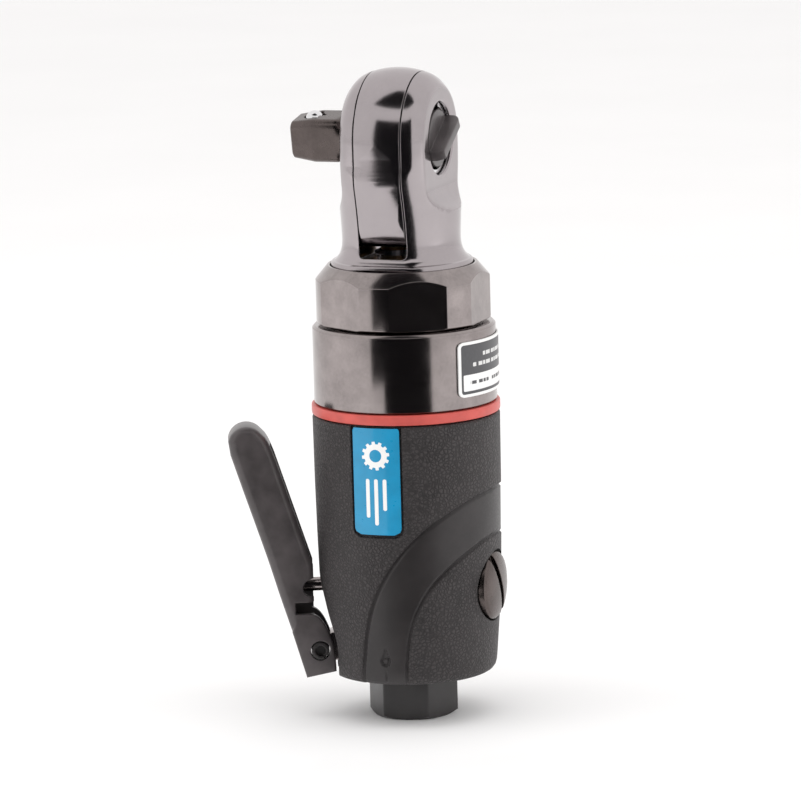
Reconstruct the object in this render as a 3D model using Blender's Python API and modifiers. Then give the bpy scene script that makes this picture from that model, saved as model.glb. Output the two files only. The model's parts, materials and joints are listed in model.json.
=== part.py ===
"""Stubby air ratchet with a 3/8 inch square drive, modelled piece by piece.

The tool stands on its air inlet: +Z runs up the barrel, the square drive points along -X, the
reversing lever and the air regulator face +X.  The throttle lever stands out near -X, turned
LEVER_TURN towards -Y.  The origin is below the middle of the tool's box, so the barrel's axis
stands at x = AXIS_X; everything is drawn about that axis and parented to an empty on it, and
the throttle's pieces to a second empty that carries the turn.  Every size is in metres; the
constants below are written in millimetres times MM.
"""
import math

import bmesh
import bpy
from mathutils import Matrix, Vector

MM = 0.001
GAP = 0.3 * MM              # clearance kept between neighbouring pieces
AXIS_X = 8.48 * MM          # barrel axis, off centre because the lever stands out
ROUND = 32                  # facets of the round pieces
FINE = 16                   # facets of the small round pieces
BARREL_ROUND = 40           # facets of the barrel, grip and nut
SWEEP_EPS = 0.00001         # merge distance of the turned profiles

# square drive and ratchet head
DRIVE_Z = 125.6 * MM        # height of the drive axis
SQUARE = 9.525 * MM         # 3/8 inch across the flats
SQUARE_ROLL = math.radians(10.0)
TIP_X = -23.2 * MM          # end face of the square
TIP_TAPER = math.radians(8.0)
TIP_LENGTH = 5.0 * MM
SQUARE_BACK_X = -12.4 * MM
NECK_BACK_X = -10.6 * MM
DRIVE_NECK_R = 5.0 * MM
JOURNAL_R = 5.8 * MM
DRUM_R = 7.3 * MM
HEAD_R = 15.0 * MM          # round end of the head, about the drive axis
HEAD_HALF = 9.5 * MM        # half the thickness across the cheeks' flats
FLAT_R = 11.0 * MM
SLOT_HALF = 5.4 * MM
SLOT_FLOOR_Z = 101.0 * MM
YOKE_HALF = SLOT_HALF - GAP
CHEEK_HOLE_R = 7.75 * MM
NECK_A = 12.65 * MM         # neck radius across X
NECK_B = 13.2 * MM          # neck radius across Y
COLLAR_R = 15.2 * MM
FLANGE_R = 16.0 * MM        # shoulder under the clamp nut
FOOT_R = 13.9 * MM          # foot inside the barrel
YOKE_SWING = math.radians(4.0)
CRANK_THROW = 1.5 * MM
BUSHING_R = 3.6 * MM

# clamp nut and barrel
NUT_R = 18.7 * MM
NUT_FLAT = 17.6 * MM        # half of the distance across the flats
NUT_Z = (86.3 * MM, 98.7 * MM)
NUT_BORE_R = 16.3 * MM
BAND_R = 19.7 * MM
BAND_Z = (69.1 * MM, 85.8 * MM)
SPIGOT_R = 16.0 * MM
SPIGOT_TOP_Z = 91.5 * MM
SLEEVE_R = 17.0 * MM        # barrel under the grip
MOTOR_BORE_R = 14.2 * MM
MOTOR_FLOOR_Z = 38.0 * MM
RING_R = 20.3 * MM
RING_Z = (66.6 * MM, 68.8 * MM)

# grip
GRIP_TOP_Z = 66.3 * MM
GRIP_TOP_R = 20.2 * MM
GRIP_LOW_R = 18.4 * MM
GRIP_LOW_Z = 13.0 * MM
GRIP_BASE_R = 17.2 * MM
GRIP_BASE_Z = 9.8 * MM
VALVE_Z = 29.0 * MM         # height of the cross bore for throttle pin and regulator

# air inlet
INLET_FLATS = 17.0 * MM
INLET_TURN = math.radians(8.0)
INLET_HEX_TOP_Z = 11.0 * MM
INLET_BORE_R = 5.8 * MM

# throttle lever
LEVER_TURN = math.radians(22.0)
LEVER_X = -20.0 * MM
LEVER_Z = 15.2 * MM
LEVER_HALF = 5.0 * MM
LEVER_WALL = 1.7 * MM
PIN_R = 1.5 * MM
ROLL_PIN_R = 1.9 * MM

# epicyclic stage
MODULE = 0.65 * MM
SUN_TEETH = 12
PLANET_TEETH = 12
RING_TEETH = 36
PLANET_ANGLES = (90.0, 210.0, 330.0)
PRESSURE_ANGLE = math.radians(20.0)

# motor
ROTOR_R = 9.4 * MM
ROTOR_Z = (44.8 * MM, 68.2 * MM)
VANES = 4
CHAMBER_R = 10.6 * MM
CHAMBER_OFFSET = 0.9 * MM

FINISHES = {
    "polished_nickel": ((0.42, 0.39, 0.40), 0.16, 1.0),
    "dark_steel": ((0.27, 0.25, 0.255), 0.32, 1.0),
    "black_oxide": ((0.05, 0.047, 0.05), 0.45, 0.8),
    "bright_steel": ((0.72, 0.72, 0.73), 0.2, 1.0),
    "ground_steel": ((0.5, 0.5, 0.51), 0.35, 1.0),
    "bronze": ((0.55, 0.38, 0.18), 0.4, 1.0),
    "cast_aluminium": ((0.6, 0.6, 0.61), 0.5, 1.0),
    "grip_rubber": ((0.035, 0.033, 0.034), 0.75, 0.0),
    "red_plastic": ((0.75, 0.12, 0.1), 0.45, 0.0),
    "blue_label": ((0.03, 0.33, 0.62), 0.35, 0.0),
    "plate_print": ((0.75, 0.75, 0.75), 0.4, 0.3),
    "seal_rubber": ((0.02, 0.02, 0.02), 0.7, 0.0),
    "vane_composite": ((0.3, 0.2, 0.1), 0.6, 0.0),
    "gasket": ((0.45, 0.4, 0.3), 0.8, 0.0),
}


def clear_scene():
    for obj in list(bpy.data.objects):
        bpy.data.objects.remove(obj, do_unlink=True)


def new_collection(name):
    collection = bpy.data.collections.new(name)
    bpy.context.scene.collection.children.link(collection)
    return collection


def finish_material(name):
    known = bpy.data.materials.get(name)
    if known:
        return known
    colour, roughness, metallic = FINISHES[name]
    material = bpy.data.materials.new(name)
    material.use_nodes = True
    shader = material.node_tree.nodes["Principled BSDF"]
    shader.inputs["Base Color"].default_value = (*colour, 1.0)
    shader.inputs["Roughness"].default_value = roughness
    shader.inputs["Metallic"].default_value = metallic
    return material


def place(name, mesh, finish, at, rotation):
    """Link a mesh as a part, or as a hidden cutter when it has no finish."""
    obj = bpy.data.objects.new(name, mesh)
    obj.location = at
    obj.rotation_euler = rotation
    obj.parent = TOOL_AXIS
    if finish is None:
        CUTTERS.objects.link(obj)
        obj.hide_render = True
        obj.display_type = 'WIRE'
    else:
        PARTS.objects.link(obj)
        mesh.materials.append(finish_material(finish))
    return obj


AXIS_TURN = {
    "Z": (0.0, 0.0, 0.0),
    "X": (0.0, math.pi / 2, 0.0),
    "-X": (0.0, -math.pi / 2, 0.0),
    "Y": (-math.pi / 2, 0.0, 0.0),
}


def profile_area(profile):
    area = 0.0
    for (r0, h0), (r1, h1) in zip(profile, profile[1:] + profile[:1]):
        area += r0 * h1 - r1 * h0
    return area / 2


def turned(name, profile, finish=None, facets=ROUND, axis="Z", at=(0.0, 0.0, 0.0)):
    """Turn a profile of (radius, height) points about the axis.

    A profile that starts and ends on the axis makes a solid, any other makes a ring.
    """
    points = list(profile)
    if profile_area(points) > 0:
        points.reverse()
    solid = points[0][0] == 0.0 and points[-1][0] == 0.0
    mesh = bpy.data.meshes.new(name)
    edges = [(i, i + 1) for i in range(len(points) - 1)]
    if not solid:
        edges.append((len(points) - 1, 0))
    mesh.from_pydata([(r, 0.0, h) for r, h in points], edges, [])
    obj = place(name, mesh, finish, at, AXIS_TURN[axis])
    screw = obj.modifiers.new("turn", 'SCREW')
    screw.axis = 'Z'
    screw.angle = 2 * math.pi
    screw.steps = facets
    screw.render_steps = facets
    screw.use_merge_vertices = True
    screw.merge_threshold = SWEEP_EPS
    screw.use_smooth_shade = True
    return obj


def rod(name, radius, low, high, finish=None, facets=FINE, axis="Z", at=(0.0, 0.0, 0.0)):
    profile = [(0.0, high), (radius, high), (radius, low), (0.0, low)]
    return turned(name, profile, finish, facets, axis, at)


def tube(name, outer, inner, low, high, finish=None, facets=FINE, axis="Z",
         at=(0.0, 0.0, 0.0)):
    profile = [(inner, high), (outer, high), (outer, low), (inner, low)]
    return turned(name, profile, finish, facets, axis, at)


def bead(name, radius, thickness, finish, axis="Z", at=(0.0, 0.0, 0.0)):
    """A seal ring with a round section."""
    steps = 6
    profile = []
    for i in range(steps):
        angle = 2 * math.pi * i / steps
        profile.append((radius + thickness * math.cos(angle), thickness * math.sin(angle)))
    return turned(name, profile, finish, FINE, axis, at)


def box(name, low, high, finish=None):
    mesh = bpy.data.meshes.new(name)
    work = bmesh.new()
    bmesh.ops.create_cube(work, size=1.0)
    size = Vector(high) - Vector(low)
    bmesh.ops.scale(work, vec=size, verts=work.verts)
    work.to_mesh(mesh)
    work.free()
    centre = (Vector(high) + Vector(low)) / 2
    return place(name, mesh, finish, centre, (0.0, 0.0, 0.0))


# local x, y, z of a flat outline laid in each plane
PLANES = {
    "XY": Matrix(((1, 0, 0), (0, 1, 0), (0, 0, 1))),
    "YZ": Matrix(((0, 0, 1), (1, 0, 0), (0, 1, 0))),
    "XZ": Matrix(((1, 0, 0), (0, 0, -1), (0, 1, 0))),
}


def plate(name, outlines, low, high, finish=None, plane="XY", at=(0.0, 0.0, 0.0), turn=0.0):
    """Extrude flat outlines (the first is the edge, the others are holes).

    low and high are the two faces, measured along the plane's normal.
    """
    curve = bpy.data.curves.new(name, 'CURVE')
    curve.dimensions = '2D'
    curve.fill_mode = 'BOTH'
    curve.extrude = (high - low) / 2
    for outline in outlines:
        spline = curve.splines.new('POLY')
        spline.points.add(len(outline) - 1)
        for point, (u, v) in zip(spline.points, outline):
            point.co = (u, v, 0.0, 1.0)
        spline.use_cyclic_u = True
    drawn = bpy.data.objects.new(name + "_outline", curve)
    CUTTERS.objects.link(drawn)
    graph = bpy.context.evaluated_depsgraph_get()
    mesh = bpy.data.meshes.new_from_object(drawn.evaluated_get(graph))
    bpy.data.objects.remove(drawn, do_unlink=True)
    work = bmesh.new()
    work.from_mesh(mesh)
    bmesh.ops.remove_doubles(work, verts=work.verts, dist=SWEEP_EPS / 10)
    bmesh.ops.translate(work, verts=work.verts, vec=(0.0, 0.0, (high + low) / 2))
    bmesh.ops.rotate(work, verts=work.verts, cent=(0, 0, 0), matrix=Matrix.Rotation(turn, 3, 'Z'))
    bmesh.ops.transform(work, matrix=PLANES[plane].to_4x4(), verts=work.verts)
    bmesh.ops.recalc_face_normals(work, faces=work.faces)
    mesh.clear_geometry()
    work.to_mesh(mesh)
    work.free()
    mesh.materials.clear()
    mesh.name = name
    return place(name, mesh, finish, at, (0.0, 0.0, 0.0))


def loft(name, sections, finish=None, at=(0.0, 0.0, 0.0)):
    """Skin closed sections with the same number of points, and close both ends."""
    mesh = bpy.data.meshes.new(name)
    work = bmesh.new()
    rings = [[work.verts.new(point) for point in section] for section in sections]
    for lower, upper in zip(rings, rings[1:]):
        for i in range(len(lower)):
            j = (i + 1) % len(lower)
            work.faces.new((lower[i], lower[j], upper[j], upper[i]))
    work.faces.new(list(reversed(rings[0])))
    work.faces.new(rings[-1])
    bmesh.ops.recalc_face_normals(work, faces=work.faces)
    work.to_mesh(mesh)
    work.free()
    return place(name, mesh, finish, at, (0.0, 0.0, 0.0))


def boolean(target, other, operation):
    step = target.modifiers.new(other.name, 'BOOLEAN')
    step.operation = operation
    step.object = other
    step.solver = 'EXACT'


def cut(target, *cutters):
    for cutter in cutters:
        boolean(target, cutter, 'DIFFERENCE')


def join(target, *others):
    for other in others:
        boolean(target, other, 'UNION')


def to_lever_side(*objects):
    """Draw these about the throttle lever's plane in place of the XZ plane."""
    for obj in objects:
        obj.parent = LEVER_SIDE


def keep_inside(target, other):
    boolean(target, other, 'INTERSECT')


def circle(radius, count, centre=(0.0, 0.0), start=0.0):
    points = []
    for i in range(count):
        angle = start + 2 * math.pi * i / count
        points.append((centre[0] + radius * math.cos(angle), centre[1] + radius * math.sin(angle)))
    return points


def arc(radius, first, last, steps, centre=(0.0, 0.0)):
    """Points along an arc, the angles in degrees."""
    points = []
    for i in range(steps + 1):
        angle = math.radians(first + (last - first) * i / steps)
        points.append((centre[0] + radius * math.cos(angle), centre[1] + radius * math.sin(angle)))
    return points


def coil(name, radius, wire, low, high, turns, finish, axis="Z", at=(0.0, 0.0, 0.0)):
    """A compression spring: a wire along a helix."""
    curve = bpy.data.curves.new(name, 'CURVE')
    curve.dimensions = '3D'
    curve.bevel_depth = wire
    curve.bevel_resolution = 1
    curve.use_fill_caps = True
    per_turn = 8
    count = int(turns * per_turn) + 1
    spline = curve.splines.new('POLY')
    spline.points.add(count - 1)
    for i, point in enumerate(spline.points):
        angle = 2 * math.pi * i / per_turn
        height = low + wire + (high - low - 2 * wire) * i / (count - 1)
        point.co = (radius * math.cos(angle), radius * math.sin(angle), height, 1.0)
    drawn = bpy.data.objects.new(name + "_wire", curve)
    CUTTERS.objects.link(drawn)
    graph = bpy.context.evaluated_depsgraph_get()
    mesh = bpy.data.meshes.new_from_object(drawn.evaluated_get(graph))
    bpy.data.objects.remove(drawn, do_unlink=True)
    work = bmesh.new()
    work.from_mesh(mesh)
    bmesh.ops.remove_doubles(work, verts=work.verts, dist=SWEEP_EPS / 10)
    bmesh.ops.recalc_face_normals(work, faces=work.faces)
    mesh.clear_geometry()
    work.to_mesh(mesh)
    work.free()
    mesh.materials.clear()
    return place(name, mesh, finish, at, AXIS_TURN[axis])


def involute(angle):
    return math.tan(angle) - angle


def gear_outline(teeth, addendum, dedendum, slack, start):
    """Outline of a spur gear with involute flanks; a tooth is centred at start."""
    pitch_r = MODULE * teeth / 2
    base_r = pitch_r * math.cos(PRESSURE_ANGLE)
    root_r = pitch_r - dedendum
    tip_r = pitch_r + addendum
    half_pitch = math.pi / (2 * teeth) + involute(PRESSURE_ANGLE) - slack / (2 * pitch_r)
    flank = []
    for step in range(3):
        radius = root_r + (tip_r - root_r) * step / 2
        roll = math.acos(min(1.0, base_r / radius))
        flank.append((radius, half_pitch - involute(roll)))
    points = []
    for tooth in range(teeth):
        centre = start + 2 * math.pi * tooth / teeth
        for radius, half in flank:
            points.append((radius * math.cos(centre - half), radius * math.sin(centre - half)))
        for radius, half in reversed(flank):
            points.append((radius * math.cos(centre + half), radius * math.sin(centre + half)))
    return points


# ------------------------------------------------------------------ ratchet head

def head_sections(count=ROUND):
    """Elliptic sections of the head from the drive axis down to its clamped foot."""
    levels = [
        (130.0 * MM, 10.0 * MM, 13.0 * MM),
        (DRIVE_Z, 13.0 * MM, 16.3 * MM),
        (121.0 * MM, 13.1 * MM, 16.3 * MM),
        (117.0 * MM, 13.0 * MM, 15.7 * MM),
        (112.5 * MM, 12.9 * MM, 14.5 * MM),
        (108.0 * MM, 12.75 * MM, 13.6 * MM),
        (104.0 * MM, NECK_A, NECK_B),
        (101.6 * MM, 12.95 * MM, 13.3 * MM),
        (100.4 * MM, 13.6 * MM, 13.8 * MM),
        (99.6 * MM, 14.5 * MM, 14.6 * MM),
        (99.1 * MM, COLLAR_R, COLLAR_R),
        (95.9 * MM, COLLAR_R, COLLAR_R),
        (95.9 * MM, FLANGE_R, FLANGE_R),
        (91.8 * MM, FLANGE_R, FLANGE_R),
        (91.8 * MM, FOOT_R, FOOT_R),
        (87.2 * MM, FOOT_R, FOOT_R),
    ]
    sections = []
    for height, across_x, across_y in levels:
        section = []
        for i in range(count):
            angle = 2 * math.pi * i / count
            section.append((across_x * math.cos(angle), across_y * math.sin(angle), height))
        sections.append(section)
    return sections


def cheek_profile():
    half_bevel_x = 7.5 * MM
    half_bevel_r = 13.35 * MM
    spare = 0.5 * MM        # taken off again by the milled flats
    slope = (half_bevel_r - FLAT_R) / (HEAD_HALF - half_bevel_x)
    end_x = HEAD_HALF + spare
    end_r = FLAT_R - spare * slope
    return [
        (0.0, end_x),
        (end_r, end_x),
        (half_bevel_r, half_bevel_x),
        (HEAD_R, SLOT_HALF),
        (HEAD_R, -SLOT_HALF),
        (half_bevel_r, -half_bevel_x),
        (end_r, -end_x),
        (0.0, -end_x),
    ]


def side_flat_outline(side):
    """XZ outline of the flat milled on one cheek, with its scooped lower end."""
    scoop_r = 6.0 * MM
    scoop_z = 116.0 * MM
    outline = [(HEAD_HALF, 145.0 * MM)]
    outline += arc(scoop_r, 180.0, 250.0, 7, (HEAD_HALF + scoop_r, scoop_z))
    outline += [(20.0 * MM, 107.0 * MM), (20.0 * MM, 145.0 * MM)]
    return [(side * x, z) for x, z in outline]


def ratchet_housing():
    body = loft("ratchet_housing", head_sections(), "polished_nickel")
    barrel = turned("head_round", cheek_profile(), axis="X", at=(0.0, 0.0, DRIVE_Z))
    join(body, barrel)
    for side in (1, -1):
        flat = plate(f"cheek_flat_{side}", [side_flat_outline(side)], -20 * MM, 20 * MM, plane="XZ")
        cut(body, flat)
    slot = box("fork_slot", (-SLOT_HALF, -25 * MM, SLOT_FLOOR_Z), (SLOT_HALF, 25 * MM, 150 * MM))
    bore = turned("bearing_bore", [
        (0.0, 101.5 * MM), (6.0 * MM, 101.5 * MM), (6.0 * MM, 98.6 * MM),
        (8.3 * MM, 98.6 * MM), (8.3 * MM, 80 * MM), (0.0, 80 * MM)])
    journal = rod("journal_hole", JOURNAL_R + GAP, -12 * MM, -4 * MM, axis="X",
                  at=(0, 0, DRIVE_Z))
    mouth = rod("anvil_hole", CHEEK_HOLE_R, 4 * MM, 12 * MM, facets=ROUND, axis="X",
                at=(0, 0, DRIVE_Z))
    groove = rod("clip_groove", 8.5 * MM, 7.5 * MM, 8.7 * MM, facets=ROUND, axis="X",
                 at=(0, 0, DRIVE_Z))
    cut(body, slot, bore, journal, mouth, groove)


def ratchet_yoke():
    """Rocking ring with inner teeth and a forked tail for the drive bushing."""
    tip_r = 7.9 * MM
    root_r = 8.8 * MM
    teeth = 32
    half = [(-a, b) for a, b in arc(HEAD_R, 90.0, -14.0, 14)]
    half += [(-14.6 * MM, -8.6 * MM), (-13.7 * MM, -12.6 * MM), (-12.4 * MM, -17.2 * MM)]
    half += [(-11.9 * MM, -19.5 * MM), (-10.6 * MM, -21.4 * MM), (-8.8 * MM, -22.3 * MM)]
    swing_room = 22.0 * MM * math.tan(YOKE_SWING)
    fork_half = BUSHING_R + CRANK_THROW + swing_room + GAP
    fork_top = 108.6 * MM - DRIVE_Z
    half += [(-fork_half, -22.3 * MM), (-fork_half, fork_top)]
    outline = half + [(-y, z) for y, z in reversed(half)][:-1]
    ring = []
    for tooth in range(teeth):
        start = 360.0 * tooth / teeth
        step = 360.0 / teeth
        ring += arc(root_r, start, start + step * 0.35, 1)
        ring += arc(tip_r, start + step * 0.55, start + step * 0.8, 1)
    plate("ratchet_yoke", [outline, ring], -YOKE_HALF, YOKE_HALF, "polished_nickel", "YZ",
          at=(0, 0, DRIVE_Z))


def square_section(x, scale, radius=None):
    """Section of the drive square with clipped corners, or a plain circle."""
    points = []
    for side in range(4):
        for offset in (-37.5, -20.0, 0.0, 20.0, 37.5):
            reach = radius or SQUARE / 2 * scale / math.cos(math.radians(offset))
            turn = math.radians(90.0 * side + offset) + SQUARE_ROLL
            points.append((x, reach * math.cos(turn), reach * math.sin(turn)))
    return points


BALL_X = TIP_X + 4.4 * MM
BALL_R = 2.0 * MM
BALL_REST = SQUARE / 2 + 0.9 * MM - BALL_R
BALL_DIRECTION = Vector((0.0, -math.sin(SQUARE_ROLL), math.cos(SQUARE_ROLL)))


def anvil():
    drive = (0.0, 0.0, DRIVE_Z)
    tip_scale = 1 - TIP_LENGTH * math.tan(TIP_TAPER) / (SQUARE / 2)
    sections = [
        square_section(TIP_X, tip_scale),
        square_section(TIP_X + TIP_LENGTH, 1.0),
        square_section(SQUARE_BACK_X, 1.0),
        square_section(NECK_BACK_X, 1.0, DRIVE_NECK_R),
        square_section(-8.0 * MM, 1.0, DRIVE_NECK_R),
    ]
    body = loft("anvil", sections, "dark_steel", drive)
    drum = turned("anvil_drum", [
        (0.0, 7.2 * MM), (DRUM_R, 7.2 * MM), (DRUM_R, -4.4 * MM), (JOURNAL_R, -4.4 * MM),
        (JOURNAL_R, -9.2 * MM), (0.0, -9.2 * MM)], axis="X", at=drive)
    join(body, drum)
    pocket_outline = arc(10 * MM, -148.0, -32.0, 8) + arc(2.0 * MM, -32.0, -148.0, 4)
    pocket = plate("pawl_pocket", [pocket_outline], -3.6 * MM, 4.4 * MM, plane="YZ", at=drive)
    shaft_hole = rod("reverse_hole", 2.9 * MM, -4.0 * MM, 9 * MM, axis="X", at=drive)
    ball_hole = rod("ball_hole", BALL_R + GAP, -2.8 * MM, 9 * MM)
    ball_hole.location = (BALL_X, 0.0, DRIVE_Z)
    ball_hole.rotation_euler = (SQUARE_ROLL, 0.0, 0.0)
    pin_hole = rod("pawl_pin_hole", 1.2 * MM, -4.3 * MM, 6.2 * MM, facets=16, axis="X",
                   at=(0, 0, DRIVE_Z - PAWL_PIVOT))
    cut(body, pocket, shaft_hole, ball_hole, pin_hole)


PAWL_PIVOT = 5.4 * MM
PAWL_ROCK = math.radians(4.0)


def pawl():
    """Two-ended pawl below the reversing shaft, with two teeth at each end."""
    crest_r = 7.15 * MM
    notch_r = 6.6 * MM
    outer = []
    for angle, radius in ((-142, crest_r), (-138, notch_r), (-134, crest_r), (-130, notch_r),
                          (-126, crest_r)):
        outer.append((radius * math.cos(math.radians(angle)),
                      radius * math.sin(math.radians(angle))))
    mirrored = [(-y, z) for y, z in reversed(outer)]
    outline = outer + arc(6.9 * MM, -116.0, -64.0, 6) + mirrored
    outline += arc(3.9 * MM, -46.0, -134.0, 8)
    outline = [(y, z + PAWL_PIVOT) for y, z in outline]
    body = plate("pawl", [outline, circle(1.2 * MM, 16)], -3.3 * MM, 4.1 * MM, "ground_steel",
                 "YZ", at=(0, 0, DRIVE_Z - PAWL_PIVOT))
    body.rotation_euler = (-PAWL_ROCK, 0.0, 0.0)
    rod("pawl_pin", 0.9 * MM, -4.0 * MM, 5.9 * MM, "bright_steel", 16, "X",
        (0, 0, DRIVE_Z - PAWL_PIVOT))


REVERSE_REST = math.radians(22.5) - SQUARE_ROLL


def reverse_lever():
    drive = (0.0, 0.0, DRIVE_Z)
    body = turned("reverse_lever", [
        (0.0, 9.0 * MM), (6.1 * MM, 9.0 * MM), (6.1 * MM, 7.6 * MM), (2.6 * MM, 7.6 * MM),
        (2.6 * MM, -3.6 * MM), (0.0, -3.6 * MM)], "black_oxide", FINE, "X", drive)
    wing_half = 6.6 * MM
    wing_outline = [
        (-wing_half, 8.4 * MM), (-wing_half, 11.0 * MM), (-wing_half + 1.2 * MM, 12.2 * MM),
        (wing_half - 1.0 * MM, 12.2 * MM), (wing_half, 11.2 * MM), (wing_half, 8.4 * MM)]
    wing = plate("reverse_wing", [[(u, v) for u, v in wing_outline]], -1.1 * MM, 1.1 * MM)
    wing_angle = math.atan2(6.9, 11.3)
    along = Vector((0.0, math.cos(wing_angle), math.sin(wing_angle)))
    out = Vector((1.0, 0.0, 0.0))
    wing.matrix_local = Matrix.Translation(drive) @ frame_matrix(along, out)
    well = rod("plunger_well", 1.1 * MM, -3.4 * MM, 2.0 * MM, facets=16, at=drive)
    well.rotation_euler = (REVERSE_REST, 0.0, 0.0)
    join(body, wing)
    cut(body, well)
    plunger_profile = [
        (0.0, -0.4 * MM), (0.8 * MM, -0.4 * MM), (0.8 * MM, -2.9 * MM), (0.5 * MM, -3.3 * MM),
        (0.0, -3.4 * MM)]
    plunger = turned("detent_plunger", plunger_profile, "bright_steel", 16, at=drive)
    plunger.rotation_euler = (REVERSE_REST, 0.0, 0.0)
    spring = coil("detent_spring", 0.6 * MM, 0.15 * MM, 0.1 * MM, 1.8 * MM, 3, "bright_steel",
                  at=drive)
    spring.rotation_euler = (REVERSE_REST, 0.0, 0.0)


def frame_matrix(local_x, local_y):
    """Rotation whose local x and y axes are the two given directions."""
    local_z = local_x.cross(local_y)
    rows = Matrix((local_x, local_y, local_z)).transposed()
    return rows.to_4x4()


def drive_small_parts():
    drive = (0.0, 0.0, DRIVE_Z)
    ball_profile = [(BALL_R * math.sin(math.pi * i / 8), BALL_R * math.cos(math.pi * i / 8))
                    for i in range(9)]
    ball_profile[0] = (0.0, BALL_R)
    ball_profile[-1] = (0.0, -BALL_R)
    centre = Vector((BALL_X, 0.0, DRIVE_Z)) + BALL_DIRECTION * BALL_REST
    turned("socket_ball", ball_profile, "bright_steel", FINE, at=centre)
    spring = coil("ball_spring", 1.3 * MM, 0.25 * MM, -2.4 * MM, 0.7 * MM, 4, "bright_steel",
                  at=(BALL_X, 0.0, DRIVE_Z))
    spring.rotation_euler = (SQUARE_ROLL, 0.0, 0.0)
    tube("anvil_washer", 7.2 * MM, JOURNAL_R + GAP, -5.1 * MM, -4.7 * MM, "bronze", axis="X",
         at=drive)
    ends = 14.0
    clip = arc(8.2 * MM, 90 + ends, 450 - ends, 30) + arc(6.8 * MM, 450 - ends, 90 + ends, 30)
    plate("anvil_retaining_ring", [clip], 7.8 * MM, 8.4 * MM, "bright_steel", "YZ", at=drive)


# ------------------------------------------------------------------ crank and gears

def crank_group():
    web_top = 99.6 * MM
    journal_r = 5.5 * MM
    shaft = turned("crankshaft", [
        (0.0, web_top), (journal_r, web_top), (journal_r, 86.4 * MM), (10.7 * MM, 86.4 * MM),
        (10.7 * MM, 82.6 * MM), (0.0, 82.6 * MM)], "ground_steel", ROUND)
    crank_pin = rod("crank_pin", 2.2 * MM, 98 * MM, 107 * MM, at=(-CRANK_THROW, 0, 0))
    join(shaft, crank_pin)
    orbit = MODULE * (SUN_TEETH + PLANET_TEETH) / 2
    planet_z = (76.6 * MM, 82.2 * MM)
    tip = 0.8 * MODULE
    root = 1.15 * MODULE
    slack = 0.16 * MM
    for number, degrees in enumerate(PLANET_ANGLES, 1):
        angle = math.radians(degrees)
        spot = (orbit * math.cos(angle), orbit * math.sin(angle), 0.0)
        hole = rod(f"carrier_hole_{number}", 1.5 * MM, 80 * MM, 84.6 * MM, facets=16, at=spot)
        cut(shaft, hole)
        rod(f"planet_pin_{number}", 1.2 * MM, 76.0 * MM, 84.3 * MM, "bright_steel", 16,
            at=spot)
        outline = gear_outline(PLANET_TEETH, tip, root, slack, angle + math.pi / PLANET_TEETH)
        plate(f"planet_gear_{number}", [outline, circle(1.5 * MM, 16)], *planet_z,
              "ground_steel", at=spot)
    drive_barrel = [
        (2.5 * MM, 106.8 * MM), (3.0 * MM, 106.8 * MM), (BUSHING_R, 105.0 * MM),
        (BUSHING_R, 103.6 * MM), (3.0 * MM, 101.6 * MM), (2.5 * MM, 101.6 * MM)]
    turned("drive_bushing", drive_barrel, "bronze", FINE, at=(-CRANK_THROW, 0, 0))
    tube("crank_bearing", 8.0 * MM, journal_r + GAP, 88.0 * MM, 98.3 * MM, "bright_steel")
    inner = gear_outline(RING_TEETH, root, tip, -slack,
                         math.radians(PLANET_ANGLES[0]) + math.pi / RING_TEETH)
    plate("ring_gear", [circle(MOTOR_BORE_R - GAP, ROUND), inner], 74.9 * MM, 86.9 * MM,
          "ground_steel")


# ------------------------------------------------------------------ air motor

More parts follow.
